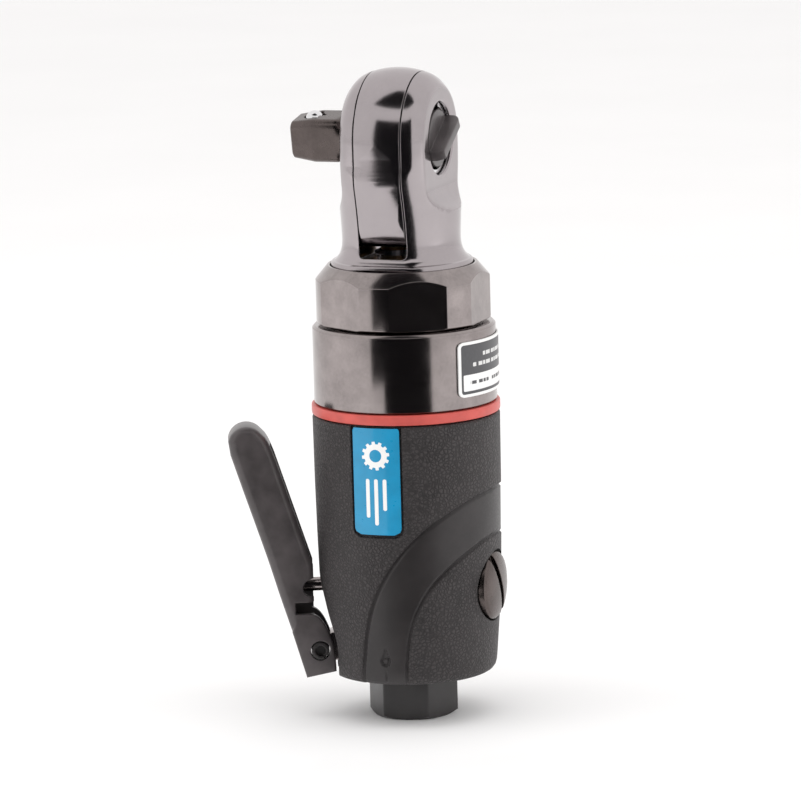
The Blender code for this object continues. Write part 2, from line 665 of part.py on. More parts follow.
def motor_group():
    core_r = MOTOR_BORE_R - GAP
    shaft_r = 2.8 * MM
    rear_shaft_r = 2.0 * MM
    rotor_low, rotor_high = ROTOR_Z
    rotor = turned("rotor", [
        (0.0, 76.3 * MM), (shaft_r, 76.3 * MM), (shaft_r, rotor_high), (ROTOR_R, rotor_high),
        (ROTOR_R, rotor_low), (rear_shaft_r, rotor_low), (rear_shaft_r, 39.2 * MM),
        (0.0, 39.2 * MM)], "ground_steel", ROUND)
    sun = plate("sun_teeth", [gear_outline(SUN_TEETH, 0.8 * MODULE, 1.15 * MODULE, 0.16 * MM,
                                           math.radians(PLANET_ANGLES[0]))],
                76.0 * MM, 82.2 * MM)
    join(rotor, sun)
    vane_half = 0.75 * MM
    vane_root = 5.3 * MM
    for number in range(1, VANES + 1):
        angle = 2 * math.pi * (number - 0.5) / VANES
        groove = box(f"vane_groove_{number}", (5.0 * MM, -vane_half - GAP, rotor_low - MM),
                     (12 * MM, vane_half + GAP, rotor_high + MM))
        groove.location = Matrix.Rotation(angle, 3, 'Z') @ groove.location
        groove.rotation_euler = (0, 0, angle)
        cut(rotor, groove)
        vane = box(f"rotor_vane_{number}", (vane_root, -vane_half, rotor_low),
                   (ROTOR_R - 0.1 * MM, vane_half, rotor_high), "vane_composite")
        vane.location = Matrix.Rotation(angle, 3, 'Z') @ vane.location
        vane.rotation_euler = (0, 0, angle)
    chamber = circle(CHAMBER_R, ROUND, (0.0, CHAMBER_OFFSET))
    liner = plate("cylinder_liner", [circle(core_r, ROUND), chamber], 44.5 * MM, 68.5 * MM,
                  "ground_steel")
    for number, height in enumerate((50.5, 56.5, 62.5), 1):
        port = rod(f"exhaust_port_{number}", 1.5 * MM, 8 * MM, 16 * MM, facets=16, axis="Y",
                   at=(0.0, 0.0, height * MM))
        cut(liner, port)
    turned("front_end_plate", [
        (3.4 * MM, 70.3 * MM), (6.3 * MM, 70.3 * MM), (6.3 * MM, 74.6 * MM),
        (core_r, 74.6 * MM), (core_r, 68.8 * MM), (3.4 * MM, 68.8 * MM)],
        "cast_aluminium", ROUND)
    tube("front_bearing", 6.0 * MM, shaft_r + GAP, 70.6 * MM, 74.1 * MM, "bright_steel")
    turned("rear_end_plate", [
        (2.6 * MM, 44.2 * MM), (core_r, 44.2 * MM), (core_r, 39.2 * MM), (5.3 * MM, 39.2 * MM),
        (5.3 * MM, 42.9 * MM), (2.6 * MM, 42.9 * MM)], "cast_aluminium", ROUND)
    tube("rear_bearing", 5.0 * MM, rear_shaft_r + GAP, 39.4 * MM, 42.6 * MM, "bright_steel")
    tube("rear_gasket", core_r, 7.0 * MM, 38.3 * MM, 38.9 * MM, "gasket", ROUND)


# ------------------------------------------------------------------ barrel and grip

def clamp_nut():
    low, high = NUT_Z
    chamfer_z = 95.6 * MM
    nut = turned("clamp_nut", [
        (COLLAR_R + GAP, high), (16.1 * MM, high), (NUT_R, chamfer_z), (NUT_R, low),
        (NUT_BORE_R, low), (NUT_BORE_R, 96.2 * MM), (COLLAR_R + GAP, 96.2 * MM)],
        "dark_steel", BARREL_ROUND)
    corner_r = NUT_FLAT / math.cos(math.pi / 6)
    flats = plate("nut_flats", [circle(corner_r, 6, start=math.pi / 6)], 80 * MM, 110 * MM)
    keep_inside(nut, flats)


def motor_housing():
    """Steel barrel: band, threaded spigot, and the valve block around the inlet thread."""
    low, high = BAND_Z
    body = turned("motor_housing", [
        (MOTOR_BORE_R, SPIGOT_TOP_Z), (SPIGOT_R, SPIGOT_TOP_Z), (SPIGOT_R, high),
        (BAND_R - 0.5 * MM, high), (BAND_R, high - 0.5 * MM), (BAND_R, low),
        (SLEEVE_R, low), (SLEEVE_R, 38.5 * MM), (14.8 * MM, 36.5 * MM), (14.8 * MM, 27.0 * MM),
        (12.0 * MM, 21.0 * MM), (12.0 * MM, 12.3 * MM), (8.6 * MM, 12.3 * MM),
        (8.6 * MM, 22.0 * MM), (4.2 * MM, 22.0 * MM), (4.2 * MM, 27.0 * MM), (0.0, 27.0 * MM),
        (0.0, 32.0 * MM), (3.0 * MM, 32.0 * MM), (3.0 * MM, MOTOR_FLOOR_Z),
        (MOTOR_BORE_R, MOTOR_FLOOR_Z)], "dark_steel", BARREL_ROUND)
    lug_outline = [(-11 * MM, 12.6 * MM), (-21.0 * MM, 12.6 * MM)]
    lug_outline += arc(2.6 * MM, 250.0, 110.0, 8, (LEVER_X, LEVER_Z))[1:]
    lug_outline += [(-11 * MM, 20.5 * MM)]
    lug = plate("lever_lug", [lug_outline], -2.8 * MM, 2.8 * MM, plane="XZ")
    regulator_bore = rod("regulator_bore", 5.3 * MM, 0.0, 16 * MM, axis="X",
                         at=(0, 0, VALVE_Z))
    valve_bore = turned("valve_bore", [
        (0.0, 2 * MM), (5.3 * MM, 2 * MM), (5.3 * MM, -8.3 * MM), (PIN_R + GAP, -8.3 * MM),
        (PIN_R + GAP, -10.6 * MM), (3.3 * MM, -10.6 * MM), (3.3 * MM, -13.0 * MM),
        (PIN_R + GAP, -13.0 * MM), (PIN_R + GAP, -18 * MM), (0.0, -18 * MM)], axis="X",
        at=(0, 0, VALVE_Z), facets=FINE)
    pivot_hole = rod("pivot_hole", ROLL_PIN_R + GAP, -10 * MM, 10 * MM, facets=24, axis="Y",
                     at=(LEVER_X, 0, LEVER_Z))
    to_lever_side(lug, valve_bore, pivot_hole)
    join(body, lug)
    cut(body, regulator_bore, valve_bore, pivot_hole)


def recess_outline():
    """Side view of the material taken off the grip behind the throttle lever."""
    return [
        (-16.2 * MM, 5 * MM), (-16.2 * MM, 14 * MM), (-16.6 * MM, 18 * MM),
        (-17.4 * MM, 21 * MM), (-18.2 * MM, 24 * MM), (-19.2 * MM, 28.5 * MM),
        (-20.4 * MM, 34 * MM), (-30 * MM, 34 * MM), (-30 * MM, 5 * MM)]


def curved_pad(name, inner, outer, low, high, middle, half_angle, finish=None):
    """A curved plate hugging the barrel, between two radii, heights and angles."""
    outline = arc(outer, middle - half_angle, middle + half_angle, 12)
    outline += arc(inner, middle + half_angle, middle - half_angle, 12)
    return plate(name, [outline], low, high, finish)


def grip_group():
    grip = turned("grip", [
        (SLEEVE_R + GAP, GRIP_TOP_Z), (GRIP_TOP_R, GRIP_TOP_Z), (20.1 * MM, 52 * MM),
        (19.85 * MM, 40 * MM), (19.4 * MM, 24 * MM), (GRIP_LOW_R, GRIP_LOW_Z),
        (18.0 * MM, 11.0 * MM), (GRIP_BASE_R, GRIP_BASE_Z), (10.3 * MM, GRIP_BASE_Z),
        (10.3 * MM, 11.9 * MM), (12.3 * MM, 11.9 * MM), (12.3 * MM, 20.9 * MM),
        (15.1 * MM, 26.9 * MM), (15.1 * MM, 36.4 * MM), (SLEEVE_R + GAP, 38.4 * MM)],
        "grip_rubber", BARREL_ROUND)
    recess = plate("lever_recess", [recess_outline()], -20 * MM, 20 * MM, plane="XZ")
    lug_slot = box("lug_slot", (-25 * MM, -3.1 * MM, 5 * MM), (-8 * MM, 3.1 * MM, 20.5 * MM))
    pin_hole = rod("pin_hole", 2.3 * MM, -25 * MM, -10 * MM, axis="X", at=(0, 0, VALVE_Z))
    dial_hole = rod("dial_hole", 7.8 * MM, 10 * MM, 25 * MM, axis="X", at=(0, 0, VALVE_Z))
    window = curved_pad("badge_pocket", 19.3 * MM, 24 * MM, 42.4 * MM, 70 * MM, -90.0, 17.0)
    to_lever_side(recess, lug_slot, pin_hole)
    cut(grip, recess, lug_slot, pin_hole, dial_hole, window)
    curved_pad("badge", 19.6 * MM, 20.0 * MM, 43.0 * MM, 66.0 * MM, -90.0, 15.2, "blue_label")
    tube("colour_ring", RING_R, SLEEVE_R + GAP, *RING_Z, "red_plastic", BARREL_ROUND)
    curved_pad("name_plate", BAND_R + 0.15 * MM, BAND_R + 0.5 * MM, 71.6 * MM, 83.4 * MM,
               0.0, 36.0, "plate_print")


# ------------------------------------------------------------------ throttle and inlet

def lever_outline():
    """Side view of the throttle lever, upright heel to rounded nose."""
    nose = (-34.6 * MM, 60.6 * MM)
    outline = [
        (-23.1 * MM, 9.3 * MM), (-26.0 * MM, 19.4 * MM), (-28.4 * MM, 27.2 * MM),
        (-30.7 * MM, 35.1 * MM), (-33.2 * MM, 43.0 * MM), (-35.7 * MM, 50.8 * MM),
        (-38.4 * MM, 59.4 * MM)]
    outline += arc(4.0 * MM, 176.0, 40.0, 8, nose)
    outline += [(-30.0 * MM, 61.4 * MM), (-28.7 * MM, 58.0 * MM), (-21.1 * MM, 34.0 * MM)]
    outline += [(-21.1 * MM, 24.0 * MM), (-18.7 * MM, 20.6 * MM), (-17.0 * MM, 16.0 * MM)]
    outline += [(-16.7 * MM, 10.5 * MM)]
    return outline


def channel_outline():
    """Side view of the channel that the lever's folded flanges leave open."""
    web = 2.0 * MM
    return [
        (-23.1 * MM + web, 0.0), (-23.1 * MM + web, 9.3 * MM), (-37.0 * MM + web, 58.0 * MM),
        (-33.0 * MM, 59.5 * MM), (-20 * MM, 62 * MM), (-5 * MM, 62 * MM), (-5 * MM, 0.0)]


def throttle_group():
    lever = plate("throttle_lever", [lever_outline()], -LEVER_HALF, LEVER_HALF, "black_oxide",
                  "XZ")
    channel_half = LEVER_HALF - LEVER_WALL
    channel = plate("lever_channel", [channel_outline()], -channel_half, channel_half,
                    plane="XZ")
    notch = rod("pin_notch", 2.6 * MM, -10 * MM, 10 * MM, axis="Y", at=(-21.6 * MM, 0, VALVE_Z))
    eye = rod("lever_eye", ROLL_PIN_R + GAP, -10 * MM, 10 * MM, facets=24, axis="Y",
              at=(LEVER_X, 0, LEVER_Z))
    window = box("lever_window", (-24.9 * MM, -10 * MM, 23.2 * MM), (-10 * MM, 10 * MM, 25.9 * MM))
    to_lever_side(lever, channel, notch, eye, window)
    cut(lever, channel, notch, eye, window)
    slit = 12.0
    pin_outline = arc(ROLL_PIN_R, slit, 360 - slit, 20) + arc(1.15 * MM, 360 - slit, slit, 20)
    hinge_pin = plate("lever_pin", [pin_outline], -LEVER_HALF, LEVER_HALF, "bright_steel", "XZ",
                      at=(LEVER_X, 0, LEVER_Z))
    stem_start = -26.0 * MM
    stem = turned("throttle_pin", [
        (0.0, -3.7 * MM), (3.2 * MM, -3.7 * MM), (3.2 * MM, -5.5 * MM), (PIN_R, -5.5 * MM),
        (PIN_R, stem_start + 0.4 * MM), (PIN_R - 0.4 * MM, stem_start), (0.0, stem_start)],
        "bright_steel", FINE, "X", (0, 0, VALVE_Z))
    seat = tube("valve_seat", 5.0 * MM, 2.2 * MM, -8.0 * MM, -5.9 * MM, "seal_rubber", axis="X",
                at=(0, 0, VALVE_Z))
    seal = bead("stem_seal", 2.45 * MM, 0.55 * MM, "seal_rubber", "X", (-11.8 * MM, 0, VALVE_Z))
    spring = coil("valve_spring", 2.4 * MM, 0.35 * MM, -0.8 * MM, 2.2 * MM, 3, "bright_steel",
                  "X", (0, 0, VALVE_Z))
    to_lever_side(hinge_pin, stem, seat, seal, spring)
    dial = turned("regulator", [
        (0.0, 20.7 * MM), (4.0 * MM, 20.5 * MM), (6.6 * MM, 19.9 * MM), (7.4 * MM, 19.2 * MM),
        (7.4 * MM, 16.4 * MM), (5.0 * MM, 16.4 * MM), (5.0 * MM, 13.6 * MM), (3.9 * MM, 13.6 * MM),
        (3.9 * MM, 11.8 * MM), (5.0 * MM, 11.8 * MM), (5.0 * MM, 4.2 * MM), (0.0, 4.2 * MM)],
        "dark_steel", ROUND, "X", (0, 0, VALVE_Z))
    screw_slot = box("dial_slot", (19.0 * MM, -0.9 * MM, VALVE_Z - 9 * MM),
                     (25 * MM, 0.9 * MM, VALVE_Z + 9 * MM))
    screw_slot.rotation_euler = (math.radians(25.0), 0, 0)
    cut(dial, screw_slot)
    bead("regulator_seal", 4.65 * MM, 0.42 * MM, "seal_rubber", "X", (12.7 * MM, 0, VALVE_Z))


def inlet_group():
    hexagon = plate("inlet_hexagon", [circle(INLET_FLATS / math.sqrt(3), 6, start=INLET_TURN)],
                    -5 * MM, 30 * MM)
    body = turned("inlet_bushing", [
        (INLET_BORE_R, 0.0), (8.3 * MM, 0.0), (10.2 * MM, 1.1 * MM),
        (10.2 * MM, INLET_HEX_TOP_Z), (8.3 * MM, INLET_HEX_TOP_Z), (8.3 * MM, 21.6 * MM),
        (4.4 * MM, 21.6 * MM), (4.4 * MM, 13.0 * MM), (INLET_BORE_R, 12.0 * MM)],
        "black_oxide", ROUND)
    keep_inside(body, hexagon)
    tube("inlet_gasket", 9.7 * MM, 8.7 * MM, 11.3 * MM, 12.0 * MM, "seal_rubber")
    holes = [circle(0.5 * MM, 8)] + [
        circle(0.5 * MM, 8, (2.4 * MM * math.cos(a), 2.4 * MM * math.sin(a)))
        for a in (math.radians(60 * k) for k in range(6))]
    plate("inlet_screen", [circle(4.1 * MM, FINE)] + holes, 20.0 * MM, 20.6 * MM,
          "bright_steel")


clear_scene()
PARTS = new_collection("air_ratchet")
CUTTERS = new_collection("cutters")
TOOL_AXIS = bpy.data.objects.new("tool_axis", None)
TOOL_AXIS.location = (AXIS_X, 0.0, 0.0)
PARTS.objects.link(TOOL_AXIS)
LEVER_SIDE = bpy.data.objects.new("lever_side", None)
LEVER_SIDE.parent = TOOL_AXIS
LEVER_SIDE.rotation_euler = (0.0, 0.0, LEVER_TURN)
PARTS.objects.link(LEVER_SIDE)
ratchet_housing()
ratchet_yoke()
anvil()
pawl()
reverse_lever()
drive_small_parts()
crank_group()
motor_group()
clamp_nut()
motor_housing()
grip_group()
throttle_group()
inlet_group()
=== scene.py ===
"""Finished look of the stubby air ratchet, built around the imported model.

The file is laid out as an add-on: sizes and colours are properties, every group of pieces has
an operator, and the panel lists them.  It is run as a script.
"""

import json
import math
from collections import namedtuple

import bmesh
import bpy
import numpy as np
from mathutils import Matrix, Quaternion, Vector


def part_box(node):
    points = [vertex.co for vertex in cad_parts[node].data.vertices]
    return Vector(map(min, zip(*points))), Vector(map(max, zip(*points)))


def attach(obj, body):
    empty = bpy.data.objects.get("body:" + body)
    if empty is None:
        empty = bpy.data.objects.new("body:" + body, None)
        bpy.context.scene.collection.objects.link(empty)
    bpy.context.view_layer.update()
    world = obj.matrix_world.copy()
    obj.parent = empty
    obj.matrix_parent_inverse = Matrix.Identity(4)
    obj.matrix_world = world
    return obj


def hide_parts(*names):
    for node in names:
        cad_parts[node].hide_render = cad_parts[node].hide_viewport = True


bl_info = {"name": "Air ratchet", "version": (1, 0, 0), "blender": (4, 5, 0),
    "location": "3D View > Sidebar > Air ratchet",
    "description": "Builds the outer pieces and the finishes of a stubby air ratchet",
    "category": "Object",}

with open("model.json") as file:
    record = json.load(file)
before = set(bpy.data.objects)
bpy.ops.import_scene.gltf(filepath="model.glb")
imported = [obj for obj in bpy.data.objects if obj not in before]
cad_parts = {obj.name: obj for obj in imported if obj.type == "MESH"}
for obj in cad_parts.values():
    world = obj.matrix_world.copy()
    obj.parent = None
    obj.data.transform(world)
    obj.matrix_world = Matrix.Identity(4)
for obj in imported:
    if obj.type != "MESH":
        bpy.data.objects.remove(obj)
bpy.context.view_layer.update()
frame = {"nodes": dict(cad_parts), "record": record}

MM = 0.001
BODY = "tool_body"


Place = namedtuple("Place", "x y z")


def in_mm(vector):
    return Place(*(value / MM for value in vector))


def span(node):
    """Low and high corner of a node's box, in millimetres."""
    return [in_mm(corner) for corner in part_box(node)]


def middle(node):
    low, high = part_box(node)
    return (low + high) / 2


# Places taken from the frame.  Pieces are drawn about the barrel's axis, in millimetres; the
# shape makers turn them into metres.
REST = Vector((middle("colour_ring").x, 0.0, 0.0))
AXIS_X = in_mm(REST).x
DRIVE_Z = in_mm(middle("anvil_washer")).z
TIP_X = span("anvil")[0].x - AXIS_X
VALVE_Z = in_mm(middle("throttle_pin")).z
HINGE = middle("lever_pin") - REST
PIVOT_X = -math.hypot(HINGE.x, HINGE.y) / MM
PIVOT_Z = in_mm(HINGE).z
LEVER_TURN = math.atan2(-HINGE.y, -HINGE.x)
LEVER_HALF = 5.0
STEM_START = -26.0
RING_LOW, RING_HIGH = span("colour_ring")
NUT_LOW, NUT_HIGH = span("clamp_nut")
BAND_LOW = RING_HIGH.z + 0.3
BAND_HIGH = NUT_LOW.z - 0.5
BALL_CENTRE = in_mm(middle("socket_ball") - REST)
SQUARE_ROLL = math.radians(10.0)
MEAN_GRIP_R = 19.4


# ------------------------------------------------------------------ properties

def colour_property(name, description, value):
    return bpy.props.FloatVectorProperty(name=name, description=description, default=value, size=3,
        min=0.0, max=1.0, subtype='COLOR')


def length_property(name, description, value):
    return bpy.props.FloatProperty(name=name, description=description, default=value, min=0.0,
        unit='LENGTH')


class RatchetSizes(bpy.types.PropertyGroup):
    """Small sizes of the outer pieces."""
    edge: length_property("Edge rounding", "Radius that softens the machined edges", 0.25 * MM)
    groove_width: length_property("Groove width", "Width of the two grooves in the grip", 0.9 * MM)
    groove_depth: length_property("Groove depth", "Depth of the two grooves", 0.5 * MM)
    stipple: length_property("Stipple size", "Size of the grip's leather-like grains", 0.75 * MM)
    brushing: length_property("Brushing pitch", "Pitch of the fine turning lines", 0.12 * MM)


class RatchetColours(bpy.types.PropertyGroup):
    """Colours of the finishes and the stage."""
    nickel: colour_property("Head", "Polished dark nickel", (0.40, 0.365, 0.375))
    steel: colour_property("Barrel", "Satin plated steel", (0.31, 0.275, 0.27))
    drive: colour_property("Drive", "Darker steel of the square", (0.12, 0.10, 0.095))
    black: colour_property("Lever", "Black oxide", (0.022, 0.019, 0.0195))
    rubber: colour_property("Grip", "Rubber of the grip", (0.024, 0.0205, 0.021))
    red: colour_property("Ring", "Red of the ring", (0.60, 0.085, 0.07))
    blue: colour_property("Badge", "Blue of the badge", (0.004, 0.27, 0.50))
    white: colour_property("Print", "White of the printing", (0.86, 0.86, 0.85))
    field: colour_property("Plate", "Dark field of the name plate", (0.075, 0.075, 0.08))
    floor: colour_property("Floor", "Pale floor", (0.93, 0.93, 0.93))


def sizes():
    return bpy.context.scene.ratchet_sizes


def colours():
    return bpy.context.scene.ratchet_colours


# ------------------------------------------------------------------ shader graphs

class Field:
    """A number that varies over a surface; arithmetic on it adds Math nodes."""

    def __init__(self, tree, socket):
        self.tree = tree
        self.socket = socket

    def math(self, operation, *values):
        node = self.tree.nodes.new("ShaderNodeMath")
        node.operation = operation
        self.tree.links.new(self.socket, node.inputs[0])
        for place, value in enumerate(values, 1):
            if isinstance(value, Field):
                self.tree.links.new(value.socket, node.inputs[place])
            else:
                node.inputs[place].default_value = value
        return Field(self.tree, node.outputs[0])

    def __add__(self, other):
        return self.math('ADD', other)

    def __sub__(self, other):
        return self.math('SUBTRACT', other)

    def __mul__(self, other):
        return self.math('MULTIPLY', other)

    def magnitude(self):
        return self.math('ABSOLUTE')

    def over(self, limit):
        return self.math('GREATER_THAN', limit)

    def under(self, limit):
        return self.math('LESS_THAN', limit)

    def either(self, other):
        return self.math('MAXIMUM', other)

    def outside(self):
        return (self * -1.0) + 1.0

    def ramp(self, low, high):
        node = self.tree.nodes.new("ShaderNodeMapRange")
        node.clamp = True
        self.tree.links.new(self.socket, node.inputs["Value"])
        node.inputs["From Min"].default_value = low
        node.inputs["From Max"].default_value = high
        return Field(self.tree, node.outputs["Result"])


class Finish:
    """A Principled material with helpers for procedural detail, in metres."""

    def __init__(self, name, metallic=0.0):
        self.material = bpy.data.materials.new(name)
        self.material.use_nodes = True
        self.tree = self.material.node_tree
        self.shader = self.tree.nodes["Principled BSDF"]
        self.shader.inputs["Metallic"].default_value = metallic
        self.normal = None

    def set(self, **values):
        for name, value in values.items():
            self.shader.inputs[name.replace("_", " ")].default_value = value

    def place(self, kind="Object", scale=(1.0, 1.0, 1.0)):
        coordinates = self.tree.nodes.new("ShaderNodeTexCoord")
        mapping = self.tree.nodes.new("ShaderNodeMapping")
        mapping.inputs["Scale"].default_value = scale
        self.tree.links.new(coordinates.outputs[kind], mapping.inputs["Vector"])
        return mapping.outputs["Vector"]

    def split(self, vector):
        node = self.tree.nodes.new("ShaderNodeSeparateXYZ")
        self.tree.links.new(vector, node.inputs[0])
        return [Field(self.tree, output) for output in node.outputs]

    def noise(self, size, detail=2.0, stretch=(1.0, 1.0, 1.0), roughness=0.5):
        """Noise whose features are about size metres across, times stretch on each axis."""
        node = self.tree.nodes.new("ShaderNodeTexNoise")
        node.inputs["Scale"].default_value = 1.0
        node.inputs["Detail"].default_value = detail
        node.inputs["Roughness"].default_value = roughness
        scale = [1.0 / (size * s) for s in stretch]
        self.tree.links.new(self.place(scale=scale), node.inputs["Vector"])
        return Field(self.tree, node.outputs["Fac"])

    def cells(self, size, kind='SMOOTH_F1'):
        node = self.tree.nodes.new("ShaderNodeTexVoronoi")
        node.feature = kind
        node.inputs["Scale"].default_value = 1.0
        scale = [1.0 / size] * 3
        self.tree.links.new(self.place(scale=scale), node.inputs["Vector"])
        return Field(self.tree, node.outputs["Distance"])

    def attribute(self, name):
        node = self.tree.nodes.new("ShaderNodeAttribute")
        node.attribute_name = name
        return Field(self.tree, node.outputs["Fac"])

    def mix(self, low, high, factor):
        """Colour between two colours, or between a colour socket and a colour."""
        node = self.tree.nodes.new("ShaderNodeMix")
        node.data_type = 'RGBA'
        self.tree.links.new(factor.socket, node.inputs["Factor"])
        for place, value in ((6, low), (7, high)):
            if isinstance(value, bpy.types.NodeSocket):
                self.tree.links.new(value, node.inputs[place])
            else:
                node.inputs[place].default_value = (*value, 1.0)
        return node.outputs[2]

    def colour(self, socket):
        self.tree.links.new(socket, self.shader.inputs["Base Color"])

    def roughness(self, field):
        self.tree.links.new(field.socket, self.shader.inputs["Roughness"])

    def soften(self, radius):
        """Round the hard edges where they catch the light."""
        node = self.tree.nodes.new("ShaderNodeBevel")
        node.samples = 6
        node.inputs["Radius"].default_value = radius
        self._shade(node.outputs["Normal"])

    def bump(self, field, height):
        node = self.tree.nodes.new("ShaderNodeBump")
        node.inputs["Strength"].default_value = 1.0
        node.inputs["Distance"].default_value = height
        self.tree.links.new(field.socket, node.inputs["Height"])
        if self.normal:
            self.tree.links.new(self.normal, node.inputs["Normal"])
        self._shade(node.outputs["Normal"])

    def _shade(self, socket):
        self.normal = socket
        self.tree.links.new(socket, self.shader.inputs["Normal"])


def shade(colour, factor):
    return tuple(min(1.0, c * factor) for c in colour)


MAKERS = {}
FINISHES = {}


def maker(function):
    MAKERS[function.__name__] = function
    return function


def finish(name):
    """The finish of that name, made the first time it is asked for."""
    if name not in FINISHES:
        if name in METALS:
            FINISHES[name] = metal(name, *METALS[name]()).material
        else:
            FINISHES[name] = MAKERS[name]().material
    return FINISHES[name]


def metal(name, colour, rough, lines, stretch, cloud=0.12, edge=None):
    """Metal with turning or polishing lines, cloudy plating and soft edges."""
    made = Finish(name, metallic=1.0)
    patches = made.noise(4 * MM, 4.0)
    specks = made.noise(0.6 * MM, 3.0)
    tone = patches * 0.7 + specks * 0.3
    made.colour(made.mix(shade(colour, 1 - cloud), shade(colour, 1 + cloud), tone.ramp(0.3, 0.7)))
    made.roughness(tone * 0.12 + (rough - 0.06))
    made.soften(sizes().edge if edge is None else edge)
    made.bump(made.noise(sizes().brushing, 2.0, stretch), lines)
    return made


# colour, roughness, depth and stretch of the fine lines, cloudiness, edge rounding
METALS = {"polished_nickel": lambda: (colours().nickel, 0.15, 0.0012 * MM, (60.0, 60.0, 1.5), 0.04),
    "satin_steel": lambda: (colours().steel, 0.15, 0.0016 * MM, (40.0, 40.0, 1.0), 0.18),
    "drive_steel": lambda: (colours().drive, 0.27, 0.004 * MM, (1.0, 30.0, 30.0), 0.18),
    "bright_steel": lambda: ((0.78, 0.78, 0.79), 0.16, 0.001 * MM, (20.0, 20.0, 1.0), 0.05,
    0.08 * MM), "ground_steel": lambda: ((0.52, 0.52, 0.53), 0.3, 0.004 * MM, (30.0, 30.0, 1.0),
    0.1, 0.1 * MM), "machined_aluminium": lambda: ((0.64, 0.64, 0.65), 0.36, 0.006 * MM,
    (30.0, 30.0, 1.0), 0.08, 0.15 * MM),}


@maker
def sintered_bronze():
    made = metal("sintered_bronze", (0.58, 0.39, 0.19), 0.42, 0.002 * MM, (3.0, 3.0, 3.0), 0.2,
        0.1 * MM)
    made.bump(made.cells(0.25 * MM).ramp(0.0, 0.5), 0.02 * MM)
    return made


def blackened(name, tone):
    """Black oxide over a bead-blasted sheet: dark, waxy, faintly grainy."""
    made = Finish(name, metallic=0.1)
    grain = made.noise(0.25 * MM, 3.0)
    patches = made.noise(5 * MM, 3.0)
    black = shade(colours().black, tone)
    made.colour(made.mix(shade(black, 0.75), shade(black, 1.35), patches.ramp(0.3, 0.7)))
    made.roughness(patches * 0.12 + 0.30)
    made.set(Coat_Weight=0.25, Coat_Roughness=0.22)
    made.soften(sizes().edge * 1.6)
    made.bump(grain, 0.008 * MM)
    return made


@maker
def black_oxide():
    return blackened("black_oxide", 0.8)


@maker
def satin_black():
    return blackened("satin_black", 2.9)


@maker
def grip_rubber():
    """Moulded rubber with leather-like grains whose raised tips carry a painted highlight, plain
    where the strip attribute is set.
    """
    made = Finish("grip_rubber")
    plain = made.attribute("plain")
    size = sizes().stipple
    grains = made.cells(size, 'DISTANCE_TO_EDGE').ramp(0.0, 0.3) + made.noise(size, 3.0) * 0.7
    rubber = colours().rubber
    worn = made.noise(6 * MM, 3.0).ramp(0.3, 0.75)
    base = made.mix(shade(rubber, 0.8), shade(rubber, 1.2), worn)
    # Painted highlight: the raised tips of the grains are lightened towards 2.1 times the rubber's
    # colour, as if catching the light.
    grain_highlight = (grains.ramp(0.6, 1.3) * plain.outside()) * 0.8
    made.colour(made.mix(base, shade(rubber, 2.1), grain_highlight))
    made.roughness(plain * -0.14 + grains.outside() * 0.08 + 0.54)
    made.set(Specular_IOR_Level=0.5, Sheen_Weight=0.03, Sheen_Roughness=0.5)
    made.soften(sizes().edge)
    made.bump(grains * plain.outside(), 0.11 * MM)
    made.bump(made.noise(0.12 * MM, 2.0), 0.006 * MM)
    return made


@maker
def red_plastic():
    made = Finish("red_plastic")
    red = colours().red
    flow = made.noise(3 * MM, 3.0)
    made.colour(made.mix(shade(red, 0.9), shade(red, 1.1), flow.ramp(0.3, 0.7)))
    made.roughness(flow * 0.1 + 0.34)
    made.set(Subsurface_Weight=0.08, Coat_Weight=0.15, Coat_Roughness=0.3)
    made.bump(made.noise(0.15 * MM, 2.0), 0.004 * MM)
    return made


@maker
def seal_rubber():
    made = Finish("seal_rubber")
    bloom = made.noise(0.8 * MM, 3.0)
    made.colour(made.mix((0.012, 0.012, 0.012), (0.035, 0.035, 0.036), bloom.ramp(0.3, 0.8)))
    made.roughness(bloom * 0.2 + 0.45)
    made.bump(made.noise(0.1 * MM, 2.0), 0.004 * MM)
    return made


@maker
def vane_laminate():
    made = Finish("vane_laminate")
    across, along, up = made.split(made.place(scale=[2 * math.pi / (0.5 * MM)] * 3))
    weave = (across + along).math('SINE') * up.math('SINE')
    made.colour(made.mix((0.20, 0.11, 0.05), (0.36, 0.23, 0.12), weave.ramp(-1.0, 1.0)))
    made.roughness(weave * 0.05 + 0.55)
    made.bump(weave, 0.01 * MM)
    return made


@maker
def gasket_fibre():
    made = Finish("gasket_fibre")
    fibres = made.noise(0.5 * MM, 5.0, (1.0, 4.0, 1.0))
    made.colour(made.mix((0.33, 0.28, 0.2), (0.56, 0.5, 0.38), fibres.ramp(0.3, 0.7)))
    made.roughness(fibres * 0.1 + 0.75)
    made.bump(fibres, 0.02 * MM)
    return made


def flat_position(made):
    """Position on a curved pad laid flat, in millimetres, from its UV map."""
    across, up, _ = made.split(made.place("UV"))
    return across, up


def rounded_box(across, up, centre, half, corner):
    """Distance outside a rounded rectangle, in millimetres."""
    over_x = (across - centre[0]).magnitude() - (half[0] - corner)
    over_y = (up - centre[1]).magnitude() - (half[1] - corner)
    far_x = over_x.math('MAXIMUM', 0.0)
    far_y = over_y.math('MAXIMUM', 0.0)
    reach = (far_x * far_x + far_y * far_y).math('SQRT')
    inner = over_x.math('MAXIMUM', over_y).math('MINIMUM', 0.0)
    return reach + inner - corner


